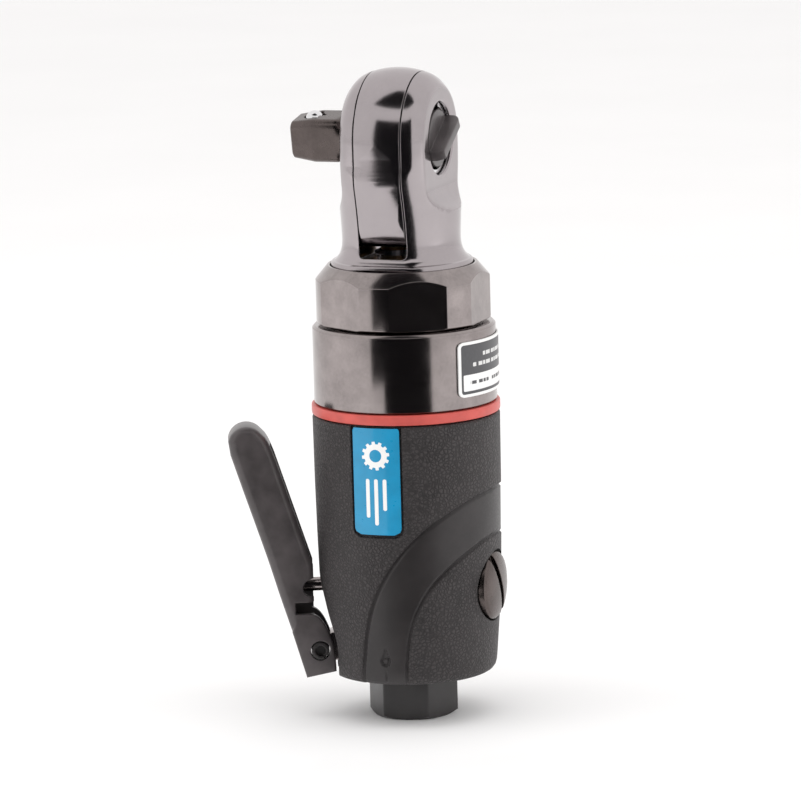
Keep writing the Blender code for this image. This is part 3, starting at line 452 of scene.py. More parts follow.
@maker
def badge_print():
    """Blue enamel with a generic sign: a toothed wheel over three streams of air."""
    made = Finish("badge_print")
    across, up = flat_position(made)
    hub = 5.6
    side = across * across + (up - hub) * (up - hub)
    reach = side.math('SQRT')
    turn = (up - hub).math('ARCTAN2', across)
    teeth = (turn * 12.0).math('SINE').ramp(-0.25, 0.25)
    rim = (reach - 2.55 - teeth * 0.55).under(0.0) * reach.over(1.35)
    mark = rim
    for place, middle_height, half_length in ((-1.9, -3.6, 4.2), (0.0, -4.4, 5.0), (1.9, -2.8, 3.4)):
        bar = rounded_box(across, up, (place, middle_height), (0.42, half_length), 0.4)
        mark = mark.either(bar.under(0.0))
    cloud = made.noise(4 * MM, 2.0).ramp(0.3, 0.7)
    base = made.mix(shade(colours().blue, 0.92), shade(colours().blue, 1.08), cloud)
    made.colour(made.mix(base, colours().white, mark))
    made.roughness(mark * 0.08 + made.noise(1.5 * MM, 3.0) * 0.1 + 0.24)
    made.set(Coat_Weight=0.5, Coat_Roughness=0.1)
    made.bump(mark, 0.02 * MM)
    return made


@maker
def plate_print():
    """Printed aluminium: white rim, dark field above, white strip below, plain rules."""
    made = Finish("plate_print")
    across, up = flat_position(made)
    edge = rounded_box(across, up, (0.0, 0.0), (12.55, 5.9), 1.3)
    rim = edge.over(-0.62)
    line = edge.over(-0.95)
    strip = rounded_box(across, up, (0.0, -2.9), (11.4, 1.75), 0.3).under(0.0)
    rules = rounded_box(across, up, (0.0, 2.9), (5.2, 0.42), 0.2).under(0.0)
    rules = rules.either(rounded_box(across, up, (0.0, 0.9), (8.6, 0.42), 0.2).under(0.0))
    gaps = (across * 3.7 + (across * 1.3).math('SINE') * 1.5).math('SINE').over(-0.75)
    rules = rules * gaps
    marks = rounded_box(across, up, (-6.2, -2.9), (3.2, 0.36), 0.2).under(0.0)
    marks = marks.either(rounded_box(across, up, (3.6, -2.9), (5.0, 0.36), 0.2).under(0.0))
    marks = marks * gaps
    grain = made.noise(0.5 * MM, 3.0)
    field = made.mix(shade(colours().field, 0.85), shade(colours().field, 1.3), grain)
    inner = made.mix(field, colours().white, (strip * marks.outside()).either(rules * 0.8))
    framed = made.mix(inner, colours().field, line)
    made.colour(made.mix(framed, colours().white, rim))
    made.set(Metallic=0.15)
    made.roughness(grain * 0.15 + 0.3)
    made.soften(0.08 * MM)
    made.bump(rim.either(strip).either(rules), 0.015 * MM)
    return made


@maker
def floor_paint():
    made = Finish("floor_paint")
    cloud = made.noise(90 * MM, 4.0)
    made.colour(made.mix(shade(colours().floor, 0.985), colours().floor, cloud.ramp(0.3, 0.7)))
    made.roughness(cloud * 0.1 + 0.75)
    made.bump(made.noise(0.8 * MM, 3.0), 0.01 * MM)
    return made


@maker
def studio_flag():
    made = Finish("studio_flag")
    cloth = made.noise(30 * MM, 2.0)
    made.colour(made.mix((0.006, 0.006, 0.008), (0.014, 0.013, 0.014), cloth))
    made.roughness(cloth * 0.1 + 0.85)
    made.set(Specular_IOR_Level=0.1)
    return made



# ------------------------------------------------------------------ shapes

AXIS_TURN = {"Z": Matrix.Identity(4), "X": Matrix.Rotation(math.pi / 2, 4, 'Y'),
    "Y": Matrix.Rotation(-math.pi / 2, 4, 'X'),}
PLANES = {"XY": Matrix.Identity(4), "YZ": Matrix(((0, 0, 1, 0), (1, 0, 0, 0), (0, 1, 0, 0),
    (0, 0, 0, 1))), "XZ": Matrix(((1, 0, 0, 0), (0, 0, -1, 0), (0, 1, 0, 0), (0, 0, 0, 1))),}


def new_object(name, work):
    """Object about the barrel's axis from a bmesh, which is freed."""
    mesh = bpy.data.meshes.new(name)
    bmesh.ops.recalc_face_normals(work, faces=work.faces)
    work.to_mesh(mesh)
    work.free()
    obj = bpy.data.objects.new(name, mesh)
    obj.location = REST
    bpy.context.scene.collection.objects.link(obj)
    return obj


def add_ring(work, spots, place=Matrix.Identity(4), unit=MM):
    """Vertices at spots given in a unit, millimetres unless it is named."""
    return [work.verts.new(place @ Vector([value * unit for value in spot])) for spot in spots]


def wheel(radius, height, count):
    """Spots evenly round a circle about Z."""
    angles = [2 * math.pi * i / count for i in range(count)]
    return [(radius * math.cos(angle), radius * math.sin(angle), height) for angle in angles]


def moved(at):
    """Shift by an offset in millimetres."""
    return Matrix.Translation([value * MM for value in at])


def ring_faces(work, rings, closed=False, wrap=True):
    """Quads between neighbouring rings of vertices."""
    pairs = list(zip(rings, rings[1:]))
    if closed:
        pairs.append((rings[-1], rings[0]))
    for lower, upper in pairs:
        count = len(lower) if wrap else len(lower) - 1
        for i in range(count):
            j = (i + 1) % len(lower)
            corners = [lower[i], lower[j], upper[j], upper[i]]
            unique = list(dict.fromkeys(corners))
            if len(unique) > 2:
                work.faces.new(unique)


def rounded(profile, radius, steps=3, closed=True):
    """Replace the corners of an outline by small arcs."""
    points = []
    count = len(profile)
    for i, (u, v) in enumerate(profile):
        here = Vector((u, v))
        before = Vector(profile[(i - 1) % count]) - here
        after = Vector(profile[(i + 1) % count]) - here
        end = not closed and i in (0, count - 1)
        if end or u <= 1e-9 or before.length < 1e-9 or after.length < 1e-9:
            points.append((u, v))
            continue
        corner = before.angle(after)
        if corner > math.radians(165) or corner < math.radians(8):
            points.append((u, v))
            continue
        back = min(radius / math.tan(corner / 2), before.length * 0.45, after.length * 0.45)
        start = here + before.normalized() * back
        stop = here + after.normalized() * back
        for k in range(steps + 1):
            t = k / steps
            spot = start * (1 - t) ** 2 + here * 2 * t * (1 - t) + stop * t * t
            points.append((spot.x, spot.y))
    return points


def turned(name, profile, facets=128, axis="Z", at=(0.0, 0.0, 0.0), round_by=None):
    """Turn (radius, height) points about an axis; the ends close if they lie on it."""
    solid = profile[0][0] == 0.0 and profile[-1][0] == 0.0
    points = [(radius * MM, height * MM) for radius, height in profile]
    reach = sizes().edge if round_by is None else round_by * MM
    if reach:
        points = rounded(points, reach, closed=not solid)
    work = bmesh.new()
    place = moved(at) @ AXIS_TURN[axis]
    rings = []
    for radius, height in points:
        if radius < 1e-9:
            rings.append(add_ring(work, [(0.0, 0.0, height)], place, 1.0) * facets)
        else:
            rings.append(add_ring(work, wheel(radius, height, facets), place, 1.0))
    ring_faces(work, rings, closed=not solid)
    return new_object(name, work)


def rod(name, radius, low, high, facets=64, axis="Z", at=(0.0, 0.0, 0.0), round_by=0.0):
    profile = [(0.0, high), (radius, high), (radius, low), (0.0, low)]
    return turned(name, profile, facets, axis, at, round_by)


def block(name, low, high, turn=None):
    work = bmesh.new()
    bmesh.ops.create_cube(work, size=1.0)
    size = (Vector(high) - Vector(low)) * MM
    centre = (Vector(high) + Vector(low)) / 2
    place = (turn or Matrix.Identity(4)) @ moved(centre) @ Matrix.Diagonal((*size, 1.0))
    bmesh.ops.transform(work, matrix=place, verts=work.verts)
    return new_object(name, work)


def slab(name, outlines, low, high, plane="XY", at=(0.0, 0.0, 0.0), edge=0.0, turn=None):
    """Extrude flat outlines, with edges rounded by a radius."""
    curve = bpy.data.curves.new(name, 'CURVE')
    curve.dimensions = '2D'
    curve.fill_mode = 'BOTH'
    curve.extrude = ((high - low) / 2 - edge) * MM
    curve.bevel_depth = edge * MM
    curve.bevel_resolution = 3
    curve.offset = -edge * MM
    for outline in outlines:
        spline = curve.splines.new('POLY')
        spline.points.add(len(outline) - 1)
        for point, (u, v) in zip(spline.points, outline):
            point.co = (u * MM, v * MM, 0.0, 1.0)
        spline.use_cyclic_u = True
    drawn = bpy.data.objects.new(name, curve)
    bpy.context.scene.collection.objects.link(drawn)
    graph = bpy.context.evaluated_depsgraph_get()
    mesh = bpy.data.meshes.new_from_object(drawn.evaluated_get(graph))
    bpy.data.objects.remove(drawn, do_unlink=True)
    work = bmesh.new()
    work.from_mesh(mesh)
    bpy.data.meshes.remove(mesh)
    bmesh.ops.remove_doubles(work, verts=work.verts, dist=0.002 * MM)
    place = (turn or Matrix.Identity(4)) @ PLANES[plane]
    place = moved(at) @ place @ moved((0, 0, (high + low) / 2))
    bmesh.ops.transform(work, matrix=place, verts=work.verts)
    return new_object(name, work)


def arc(radius, first, last, steps, centre=(0.0, 0.0)):
    points = []
    for i in range(steps + 1):
        angle = math.radians(first + (last - first) * i / steps)
        points.append((centre[0] + radius * math.cos(angle), centre[1] + radius * math.sin(angle)))
    return points


def smooth_line(points, steps=6):
    """Curve through the points, without its last point repeated."""
    fine = []
    for i in range(len(points) - 1):
        before = Vector(points[max(i - 1, 0)])
        start = Vector(points[i])
        stop = Vector(points[i + 1])
        after = Vector(points[min(i + 2, len(points) - 1)])
        for k in range(steps):
            t = k / steps
            lean_in = (stop - before) / 2
            lean_out = (after - start) / 2
            spot = (start * (2 * t ** 3 - 3 * t ** 2 + 1) + lean_in * (t ** 3 - 2 * t ** 2 + t)
                    + stop * (3 * t ** 2 - 2 * t ** 3) + lean_out * (t ** 3 - t ** 2))
            fine.append(tuple(spot))
    fine.append(tuple(points[-1]))
    return fine


def smooth_outline(points, steps=6):
    """Curve through points in millimetres, worked out in metres."""
    line = smooth_line([[value * MM for value in point] for point in points], steps)
    return [tuple(value / MM for value in point) for point in line]


def combine(target, others, operation):
    """Boolean with each of the others, which are then removed."""
    for other in others:
        step = target.modifiers.new(other.name, 'BOOLEAN')
        step.operation = operation
        step.object = other
        step.solver = 'EXACT'
    settle(target)
    for other in others:
        bpy.data.objects.remove(other, do_unlink=True)
    return target


def cut(target, *others):
    return combine(target, others, 'DIFFERENCE')


def join(target, *others):
    return combine(target, others, 'UNION')


def to_lever_side(*objects):
    """Turn pieces drawn on the XZ plane round to the throttle lever's plane."""
    for obj in objects:
        obj.rotation_euler.z = LEVER_TURN
    bpy.context.view_layer.update()


def settle(obj):
    """Apply the modifiers."""
    graph = bpy.context.evaluated_depsgraph_get()
    graph.update()
    mesh = bpy.data.meshes.new_from_object(obj.evaluated_get(graph))
    obj.modifiers.clear()
    obj.data = mesh


def complete(obj, look, slot, body, *nodes, sharp=30.0):
    """Give a piece its finish, smooth shading, its body and the nodes it stands for."""
    if len(obj.data.polygons) == 0:
        raise RuntimeError(f"{obj.name} came out empty")
    obj.data.materials.clear()
    obj.data.materials.append(finish(look))
    obj.data.shade_smooth()
    obj.data.set_sharp_from_angle(angle=math.radians(sharp))
    if nodes:
        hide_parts(*nodes)
    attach(obj, body)
    return obj


def curved_pad(name, inner, outer, low, high, half_angle, middle_angle, corners):
    """A curved plate hugging the barrel, with rounded corners and UVs in millimetres."""
    columns = 48
    rows = 40
    half_z = (high - low) / 2
    half_s = math.radians(half_angle) * outer
    work = bmesh.new()
    layers = []
    flat = {}
    for radius in (outer, inner):
        grid = []
        for j in range(rows + 1):
            row = []
            v = -half_z + 2 * half_z * j / rows
            corner = corners[0] if v < 0 else corners[1]
            inset = 0.0
            if corner and half_z - abs(v) < corner:
                rise = corner - (half_z - abs(v))
                inset = corner - math.sqrt(max(corner ** 2 - rise ** 2, 0.0))
            for i in range(columns + 1):
                u = (half_s - inset) * (2 * i / columns - 1)
                angle = math.radians(middle_angle) + u / outer
                spot = (radius * math.cos(angle), radius * math.sin(angle), (low + high) / 2 + v)
                row += add_ring(work, [spot])
                flat[row[-1]] = (u, v)
            grid.append(row)
        ring_faces(work, grid, wrap=False)
        layers.append(grid)
    front, back = layers
    rims = [(front[0], back[0]), (front[-1], back[-1])]
    rims += [([row[side] for row in front], [row[side] for row in back]) for side in (0, -1)]
    for rim in rims:
        ring_faces(work, rim, wrap=False)
    uv = work.loops.layers.uv.new("UVMap")
    for face in work.faces:
        for loop in face.loops:
            loop[uv].uv = flat[loop.vert]
    return new_object(name, work)


# ------------------------------------------------------------------ ratchet head

HEAD_HALF = 9.5
HEAD_R = 15.0
SLOT_HALF = 5.4
SLOT_FLOOR = 101.0
CROWN_R = 18.0
NO_LIMIT = 1000.0
# height above the drive axis, half width across X, half width across Y
HEAD_LEVELS = [(0.0, 13.0, 16.3), (-4.0, 13.0, 16.25), (-8.6, 13.0, 15.7), (-13.1, 12.9, 14.5),
    (-17.6, 12.75, 13.6), (-21.6, 12.65, 13.2), (-23.6, 12.9, 13.35), (-24.9, 13.5, 13.8),
    (-25.8, 14.3, 14.5), (-26.5, 15.2, 15.2), (-29.7, 15.2, 15.2)]


def head_reach(angle, drop, across, along):
    """Radius of the head's outer surface at an angle and a height below the drive axis."""
    side = max(abs(math.cos(angle)), 1e-6)
    front = max(abs(math.sin(angle)), 1e-6)
    oval = 1.0 / math.hypot(side / across, front / along)
    scoop_r = 6.0
    below = -drop - 9.6
    flat = HEAD_HALF
    if below > 0:
        flat = NO_LIMIT
        if below < scoop_r:
            flat = HEAD_HALF + scoop_r - math.sqrt(scoop_r ** 2 - below ** 2)
    fall = max(-drop - 5.0, 0.0)
    crown_r = CROWN_R + 7.0 * fall
    nose = min(HEAD_R, along - 0.07 * fall)
    crown = 2 * nose / (front + math.sqrt(front ** 2 + 2 * nose / crown_r * side ** 2))
    reach = oval
    for limit in (flat / side, crown):
        blend = 0.45
        overlap = max(blend - abs(reach - limit), 0.0) / blend
        reach = min(reach, limit) - overlap * overlap * blend / 4
    return reach


def head_shell():
    """The head as one surface: sections up to the drive axis, then swung over its top."""
    columns = 256
    work = bmesh.new()
    rings = []
    foot = [(-38.4, 13.9), (-33.8, 13.9), (-33.7, 16.0), (-29.9, 16.0), (-29.8, 15.2)]
    for drop, radius in foot:
        rings.append(add_ring(work, wheel(radius, DRIVE_Z + drop, columns)))
    levels = smooth_line(list(reversed([Vector(level) for level in HEAD_LEVELS])), 9)
    for drop, across, along in levels:
        spots = []
        for i in range(columns):
            angle = 2 * math.pi * i / columns
            reach = head_reach(angle, drop, across, along)
            spots.append((reach * math.cos(angle), reach * math.sin(angle), DRIVE_Z + drop))
        rings.append(add_ring(work, spots))
    steps = 45
    for k in range(1, steps):
        swing = math.radians(90.0 * k / steps)
        rings.append(add_ring(work, [(x, y * math.cos(swing),
            DRIVE_Z + abs(y) * math.sin(swing)) for x, y, _ in spots]))
    half = add_ring(work, [(x, 0.0, DRIVE_Z + abs(y)) for x, y, _ in spots[:columns // 2 + 1]])
    rings.append(half + half[-2:0:-1])
    ring_faces(work, rings)
    work.faces.new(list(reversed(rings[0])))
    bmesh.ops.remove_doubles(work, verts=work.verts, dist=0.004 * MM)
    return new_object("head_casting", work)


class RATCHET_OT_head(bpy.types.Operator):
    """Polished ratchet head: round cheeks with milled flats, fork slot, neck and collar."""
    bl_idname = "ratchet.head"
    bl_label = "Ratchet head"

    def execute(self, context):
        drive = (0.0, 0.0, DRIVE_Z)
        head = head_shell()
        corner = 1.3
        shift = 50
        slot_outline = rounded([(shift - SLOT_HALF, SLOT_FLOOR), (shift + SLOT_HALF, SLOT_FLOOR),
            (shift + SLOT_HALF, 150), (shift - SLOT_HALF, 150)], corner, 6)
        slot = slab("fork_slot", [slot_outline], -25, 25, "XZ", (-shift, 0, 0))
        bore = turned("bearing_bore", [(0.0, 101.5), (6.0, 101.5), (6.0, 98.6), (8.3, 98.6),
            (8.3, 80), (0.0, 80)], 96, round_by=0.0)
        journal = turned("journal_hole", [(0.0, -12), (6.9, -12), (6.9, -9.7), (6.1, -9.1),
            (6.1, -4), (0.0, -4)], 96, "X", drive, 0.0)
        mouth = turned("anvil_mouth", [(0.0, 12), (8.15, 12), (8.15, 9.6), (7.75, 9.2), (7.75, 8.7),
            (8.5, 8.7), (8.5, 7.5), (7.75, 7.5), (7.75, 4), (0.0, 4)], 128, "X", drive, 0.0)
        cut(head, slot, bore, journal, mouth)
        complete(head, "polished_nickel", "polished_nickel", BODY, "ratchet_housing", sharp=28.0)
        return {'FINISHED'}


class RATCHET_OT_yoke(bpy.types.Operator):
    """Rocking yoke whose polished rim closes the head's slot."""
    bl_idname = "ratchet.yoke"
    bl_label = "Yoke"

    def execute(self, context):
        half = [(-a, b) for a, b in arc(HEAD_R, 90.0, -12.0, 60)]
        half += smooth_outline([(-14.72, -5.0), (-14.6, -8.6), (-13.7, -12.6), (-12.7, -17.2),
            (-11.8, -19.8), (-10.6, -21.5), (-8.9, -22.3)], 8)
        fork = 6.94
        half += [(-fork, -22.3), (-fork, -17.0)]
        outline = half + [(-y, z) for y, z in reversed(half)][:-1]
        teeth = 32
        ring = []
        for tooth in range(teeth):
            start = 360.0 * tooth / teeth
            step = 360.0 / teeth
            ring += arc(8.8, start, start + step * 0.35, 2)
            ring += arc(7.9, start + step * 0.55, start + step * 0.8, 2)
        low, high = span("ratchet_yoke")
        half_width = (high.x - low.x) / 2
        yoke = slab("yoke_ring", [outline, ring], -half_width, half_width, "YZ", (0, 0, DRIVE_Z),
            0.12)
        combine(yoke, [head_shell()], 'INTERSECT')
        complete(yoke, "polished_nickel", "polished_nickel", "yoke", "ratchet_yoke")
        return {'FINISHED'}


def square_reach(angle, flat, corner):
    across = max(abs(math.cos(angle)), abs(math.sin(angle)))
    reach = flat / across
    blend = 0.35
    overlap = max(blend - abs(reach - corner), 0.0) / blend
    return min(reach, corner) - overlap * overlap * blend / 4


class RATCHET_OT_drive(bpy.types.Operator):
    """Square drive with its tapered tip, staked ball and round neck, and the anvil's drum."""
    bl_idname = "ratchet.drive"
    bl_label = "Square drive"

    def execute(self, context):
        flat = 9.525 / 2
        corner = 6.0
        neck = 5.0
        shank = 15.2
        tip = flat - 5.0 * math.tan(math.radians(8.0))
        stations = [(0.0, tip - 0.35, 0.0), (0.3, tip, 0.0), (4.9, flat - 0.03, 0.0),
            (5.2, flat, 0.0), (10.2, flat, 0.0)]
        for k in range(1, 9):
            t = k / 8
            stations.append((10.2 + 2.5 * t, flat, t * t * (3 - 2 * t)))
        stations.append((shank, flat, 1.0))
        columns = 144
        work = bmesh.new()
        rings = []
        for forward, half, blend in stations:
            spots = []
            for i in range(columns):
                angle = 2 * math.pi * i / columns
                square = square_reach(angle, half, corner * half / flat)
                reach = square * (1 - blend) + neck * blend
                turn = angle + SQUARE_ROLL
                spots.append((TIP_X + forward, reach * math.cos(turn),
                    DRIVE_Z + reach * math.sin(turn)))
            rings.append(add_ring(work, spots))
        ring_faces(work, rings)
        work.faces.new(list(reversed(rings[0])))
        work.faces.new(rings[-1])
        square = new_object("square_drive", work)
        drive = (0.0, 0.0, DRIVE_Z)
        drum = turned("anvil_drum", [(0.0, 7.2), (7.3, 7.2), (7.3, -4.4), (5.8, -4.4), (5.8, -9.2),
            (0.0, -9.2)], 96, "X", drive)
        join(square, drum)
        tilt = Matrix.Rotation(SQUARE_ROLL, 4, 'X')
        seat = moved((BALL_CENTRE.x, 0.0, DRIVE_Z)) @ tilt
        cutters = [rod("reverse_hole", 2.9, -4, 9, axis="X", at=drive)]
        ball_hole = rod("ball_hole", 2.25, -2.8, 9)
        ball_hole.data.transform(seat)
        cutters.append(ball_hole)
        for k in range(6):
            angle = math.pi / 3 * k
            stake = rod(f"stake_{k}", 0.5, 4.45, 9, 24)
            spot = (2.3 * math.cos(angle), 2.3 * math.sin(angle), 0.0)
            stake.data.transform(seat @ moved(spot))
            cutters.append(stake)
        cut(square, *cutters)
        complete(square, "drive_steel", "dark_steel", "anvil", "anvil")
        ball_r = 2.0
        profile = [(ball_r * math.sin(math.pi * i / 32),
            ball_r * math.cos(math.pi * i / 32)) for i in range(33)]
        profile[0] = (0.0, ball_r)
        profile[-1] = (0.0, -ball_r)
        ball = turned("retaining_ball", profile, 64, at=BALL_CENTRE, round_by=0.0)
        complete(ball, "bright_steel", "bright_steel", "socket_ball", "socket_ball")
        return {'FINISHED'}


class RATCHET_OT_reverse(bpy.types.Operator):
    """Reversing lever: a hub with a thin thumb wing across it."""
    bl_idname = "ratchet.reverse"
    bl_label = "Reversing lever"

    def execute(self, context):
        drive = (0.0, 0.0, DRIVE_Z)
        hub = turned("reversing_lever", [(0.0, 9.0), (6.1, 9.0), (6.1, 7.6), (2.6, 7.6),
            (2.6, -3.6), (0.0, -3.6)], 96, "X", drive)
        reach = 6.6
        wing_outline = [(-reach, 8.4), (-reach, 10.4), (-reach + 0.9, 12.1)]
        wing_outline += arc(1.7, 90.0, 0.0, 10, (reach - 1.7, 10.5))
        wing_outline += [(reach, 8.4)]
        wing_angle = math.atan2(6.9, 11.3)
        along = Vector((0.0, math.cos(wing_angle), math.sin(wing_angle)))
        out = Vector((1.0, 0.0, 0.0))
        side = along.cross(out)
        turn = Matrix((along, out, side)).transposed().to_4x4()
        wing = slab("thumb_wing", [wing_outline], -1.1, 1.1, "XY", drive, 0.22, turn)
        join(hub, wing)
        rest = math.radians(22.5) - SQUARE_ROLL
        well = rod("plunger_well", 1.1, -3.4, 2.0, 32)
        well.data.transform(moved(drive) @ Matrix.Rotation(rest, 4, 'X'))
        cut(hub, well)
        complete(hub, "satin_black", "black_oxide", "reverse_lever", "reverse_lever")
        return {'FINISHED'}


# ------------------------------------------------------------------ nut and barrel

class RATCHET_OT_nut(bpy.types.Operator):
    """Clamp nut: a chamfered ring with six milled flats."""
    bl_idname = "ratchet.nut"
    bl_label = "Clamp nut"

    def execute(self, context):
        low = NUT_LOW.z
        high = NUT_HIGH.z
        radius = 18.7
        nut = turned("clamp_nut_turned", [(15.5, high), (16.1, high), (radius, high - 3.1),
            (radius, low + 0.3), (radius - 0.3, low), (16.3, low), (16.3, high - 2.5),
            (15.5, high - 2.5)], 192)
        across = 17.6 / math.cos(math.pi / 6)
        hexagon = slab("nut_flats", [arc(across, 30.0, 330.0, 5)], 80, 110)
        combine(nut, [hexagon], 'INTERSECT')
        complete(nut, "satin_steel", "dark_steel", BODY, "clamp_nut", sharp=14.0)
        return {'FINISHED'}


class RATCHET_OT_barrel(bpy.types.Operator):
    """Steel motor barrel with its polished band, the valve block and the lever lug."""
    bl_idname = "ratchet.barrel"
    bl_label = "Motor barrel"

    def execute(self, context):
        band = 19.7
        sleeve = 17.0
        body = turned("motor_barrel", [(14.2, 91.5), (16.0, 91.5), (16.0, BAND_HIGH),
            (band - 0.55, BAND_HIGH), (band, BAND_HIGH - 0.55), (band, BAND_LOW),
            (sleeve, BAND_LOW), (sleeve, 38.5), (14.8, 36.5), (14.8, 27.0), (12.0, 21.0),
            (12.0, 12.3), (8.6, 12.3), (8.6, 22.0), (4.2, 22.0), (4.2, 27.0), (0.0, 27.0),
            (0.0, 32.0), (3.0, 32.0), (3.0, 38.0), (14.2, 38.0)], 192)
        lug_outline = [(-11, 12.6), (-21.0, 12.6)]
        lug_outline += arc(2.6, 250.0, 110.0, 24, (PIVOT_X, PIVOT_Z))[1:]
        lug_outline += [(-11, 20.5)]
        lug = slab("lever_lug", [lug_outline], -2.8, 2.8, "XZ", edge=0.15)
        to_lever_side(lug)
        join(body, lug)
        dial_bore = rod("dial_bore", 5.3, 0.0, 16, 48, "X", (0, 0, VALVE_Z))
        valve_bore = turned("valve_bore", [(0.0, 2), (5.3, 2), (5.3, -8.3), (1.8, -8.3),
            (1.8, -10.6), (3.3, -10.6), (3.3, -13.0), (1.8, -13.0), (1.8, -18), (0.0, -18)], 48,
            "X", (0, 0, VALVE_Z), 0.0)
        pivot_hole = rod("pivot_hole", 2.2, -10, 10, axis="Y", at=(PIVOT_X, 0, PIVOT_Z))
        to_lever_side(valve_bore, pivot_hole)
        cut(body, dial_bore, valve_bore, pivot_hole)
        complete(body, "satin_steel", "dark_steel", BODY, "motor_housing")
        plate_low, plate_high = span("name_plate")
        plate = curved_pad("name_plate_printed", band + 0.15, band + 0.5, plate_low.z, plate_high.z,
            36.0, 0.0, (1.3, 1.3))
        complete(plate, "plate_print", "plate_print", BODY, "name_plate")
        ring = turned("red_ring", [(17.3, RING_HIGH.z), (RING_HIGH.y, RING_HIGH.z),
            (RING_HIGH.y, RING_LOW.z), (17.3, RING_LOW.z)], 192, round_by=0.45)
        complete(ring, "red_plastic", "red_plastic", BODY, "colour_ring")
        return {'FINISHED'}


# ------------------------------------------------------------------ grip

# azimuth from the front towards the regulator in degrees, height in millimetres
OUTER_GROOVE = [(-15.9, 9.0), (-15.2, 12.0), (-12.9, 16.5), (-10.6, 20.6), (-5.9, 26.4),
    (0.8, 31.6), (10.5, 36.8), (22.7, 41.5), (37.0, 45.4), (58.8, 48.9), (75.0, 50.1), (90.0, 50.5)]
INNER_GROOVE = [(15.2, 9.0), (15.6, 12.5), (16.4, 16.4), (18.4, 20.8), (22.6, 25.4), (30.1, 30.0),
    (39.5, 33.6), (54.0, 37.2), (73.1, 39.9), (90.0, 40.6)]
GRIP_PROFILE = [(9.8, 17.1), (10.1, 17.6), (10.7, 18.05), (11.6, 18.3), (13.0, 18.45),
    (18.0, 18.85), (24.0, 19.35), (32.0, 19.7), (40.0, 19.9), (52.0, 20.1), (65.7, 20.2),
    (66.1, 20.05), (66.3, 19.8)]


def unrolled(points):
    """Both mirror halves of a groove on the unrolled grip, in millimetres."""
    line = smooth_line(points, 8)
    near = [(math.radians(azimuth - 90.0) * MEAN_GRIP_R, height) for azimuth, height in line]
    return np.array(near + [(-s, z) for s, z in reversed(near)][1:])


def distance_to(line, s, z):
    best = np.full(s.shape, 1e9)
    for (s0, z0), (s1, z1) in zip(line, line[1:]):
        ds, dz = s1 - s0, z1 - z0
        t = np.clip(((s - s0) * ds + (z - z0) * dz) / (ds * ds + dz * dz), 0.0, 1.0)
        best = np.minimum(best, np.hypot(s - s0 - t * ds, z - z0 - t * dz))
    return best


def is_inside(outline, s, z):
    inside = np.zeros(s.shape, bool)
    for (s0, z0), (s1, z1) in zip(outline, np.roll(outline, -1, axis=0)):
        if z0 == z1:
            continue
        crosses = (z0 > z) != (z1 > z)
        inside ^= crosses & (s < (s1 - s0) * (z - z0) / (z1 - z0) + s0)
    return inside


def engraved_sign(s, z):
    """An oil drop over a small arrow head, at the foot of the strip: 1 inside, 0 outside."""
    across = np.abs(s + 29.9)
    drop = np.hypot(across, z - 15.2) < 1.15
    drop |= (z > 15.2) & (z < 17.9) & (across < 1.15 * (17.9 - z) / 2.7)
    hollow = np.hypot(across, z - 15.2) < 0.6
    arrow = (z > 11.3) & (z < 12.7) & (across < (z - 11.3) * 0.9)
    return (drop & ~hollow) | arrow


def grip_shell():
    """Turned grip with the two grooves pressed into it and the strip between them plain."""
    columns = 520
    heights = [height for height, _ in GRIP_PROFILE[:5]]
    heights += list(np.linspace(13.0, 65.7, 186)[1:])
    heights += [height for height, _ in GRIP_PROFILE[-2:]]
    radii = np.interp(heights, [p[0] for p in GRIP_PROFILE], [p[1] for p in GRIP_PROFILE])
    angles = 2 * np.pi * np.arange(columns) / columns
    around = np.where(angles > np.pi, angles - 2 * np.pi, angles)
    s, z = np.meshgrid(around * MEAN_GRIP_R, heights)
    outer = unrolled(OUTER_GROOVE)
    inner = unrolled(INNER_GROOVE)
    width = sizes().groove_width / MM / 2
    depth = np.zeros(s.shape)
    for line in (outer, inner):
        share = np.clip(1 - (distance_to(line, s, z) / width) ** 2, 0.0, 1.0)
        depth = np.maximum(depth, share * sizes().groove_depth / MM)
    strip = is_inside(np.vstack([outer, inner[::-1]]), s, z)
    depth = np.maximum(depth, strip * 0.12 + engraved_sign(s, z) * 0.35)
    radius = radii[:, None] - depth
    work = bmesh.new()
    plain = work.verts.layers.float.new("plain")
    rings = []
    for j, height in enumerate(heights):
        across = radius[j] * np.cos(angles)
        along = radius[j] * np.sin(angles)
        rings.append(add_ring(work, [(x, y, height) for x, y in zip(across, along)]))
        for i, vertex in enumerate(rings[-1]):
            vertex[plain] = float(strip[j, i] or depth[j, i] > 0.12)
    inside = [(17.3, 66.3), (17.3, 38.4), (15.1, 36.4), (15.1, 26.9), (12.3, 20.9), (12.3, 11.9),
        (10.3, 11.9), (10.3, 9.8)]
    for wall, height in inside:
        rings.append(add_ring(work, wheel(wall, height, columns)))
        for vertex in rings[-1]:
            vertex[plain] = 1.0
    ring_faces(work, rings, closed=True)
    return new_object("rubber_grip", work)


def recess_outline():
    return [(-16.2, 5), (-16.2, 14), (-16.6, 18), (-17.4, 21), (-18.2, 24), (-19.2, 28.5),
        (-20.4, 34), (-30, 34), (-30, 5)]


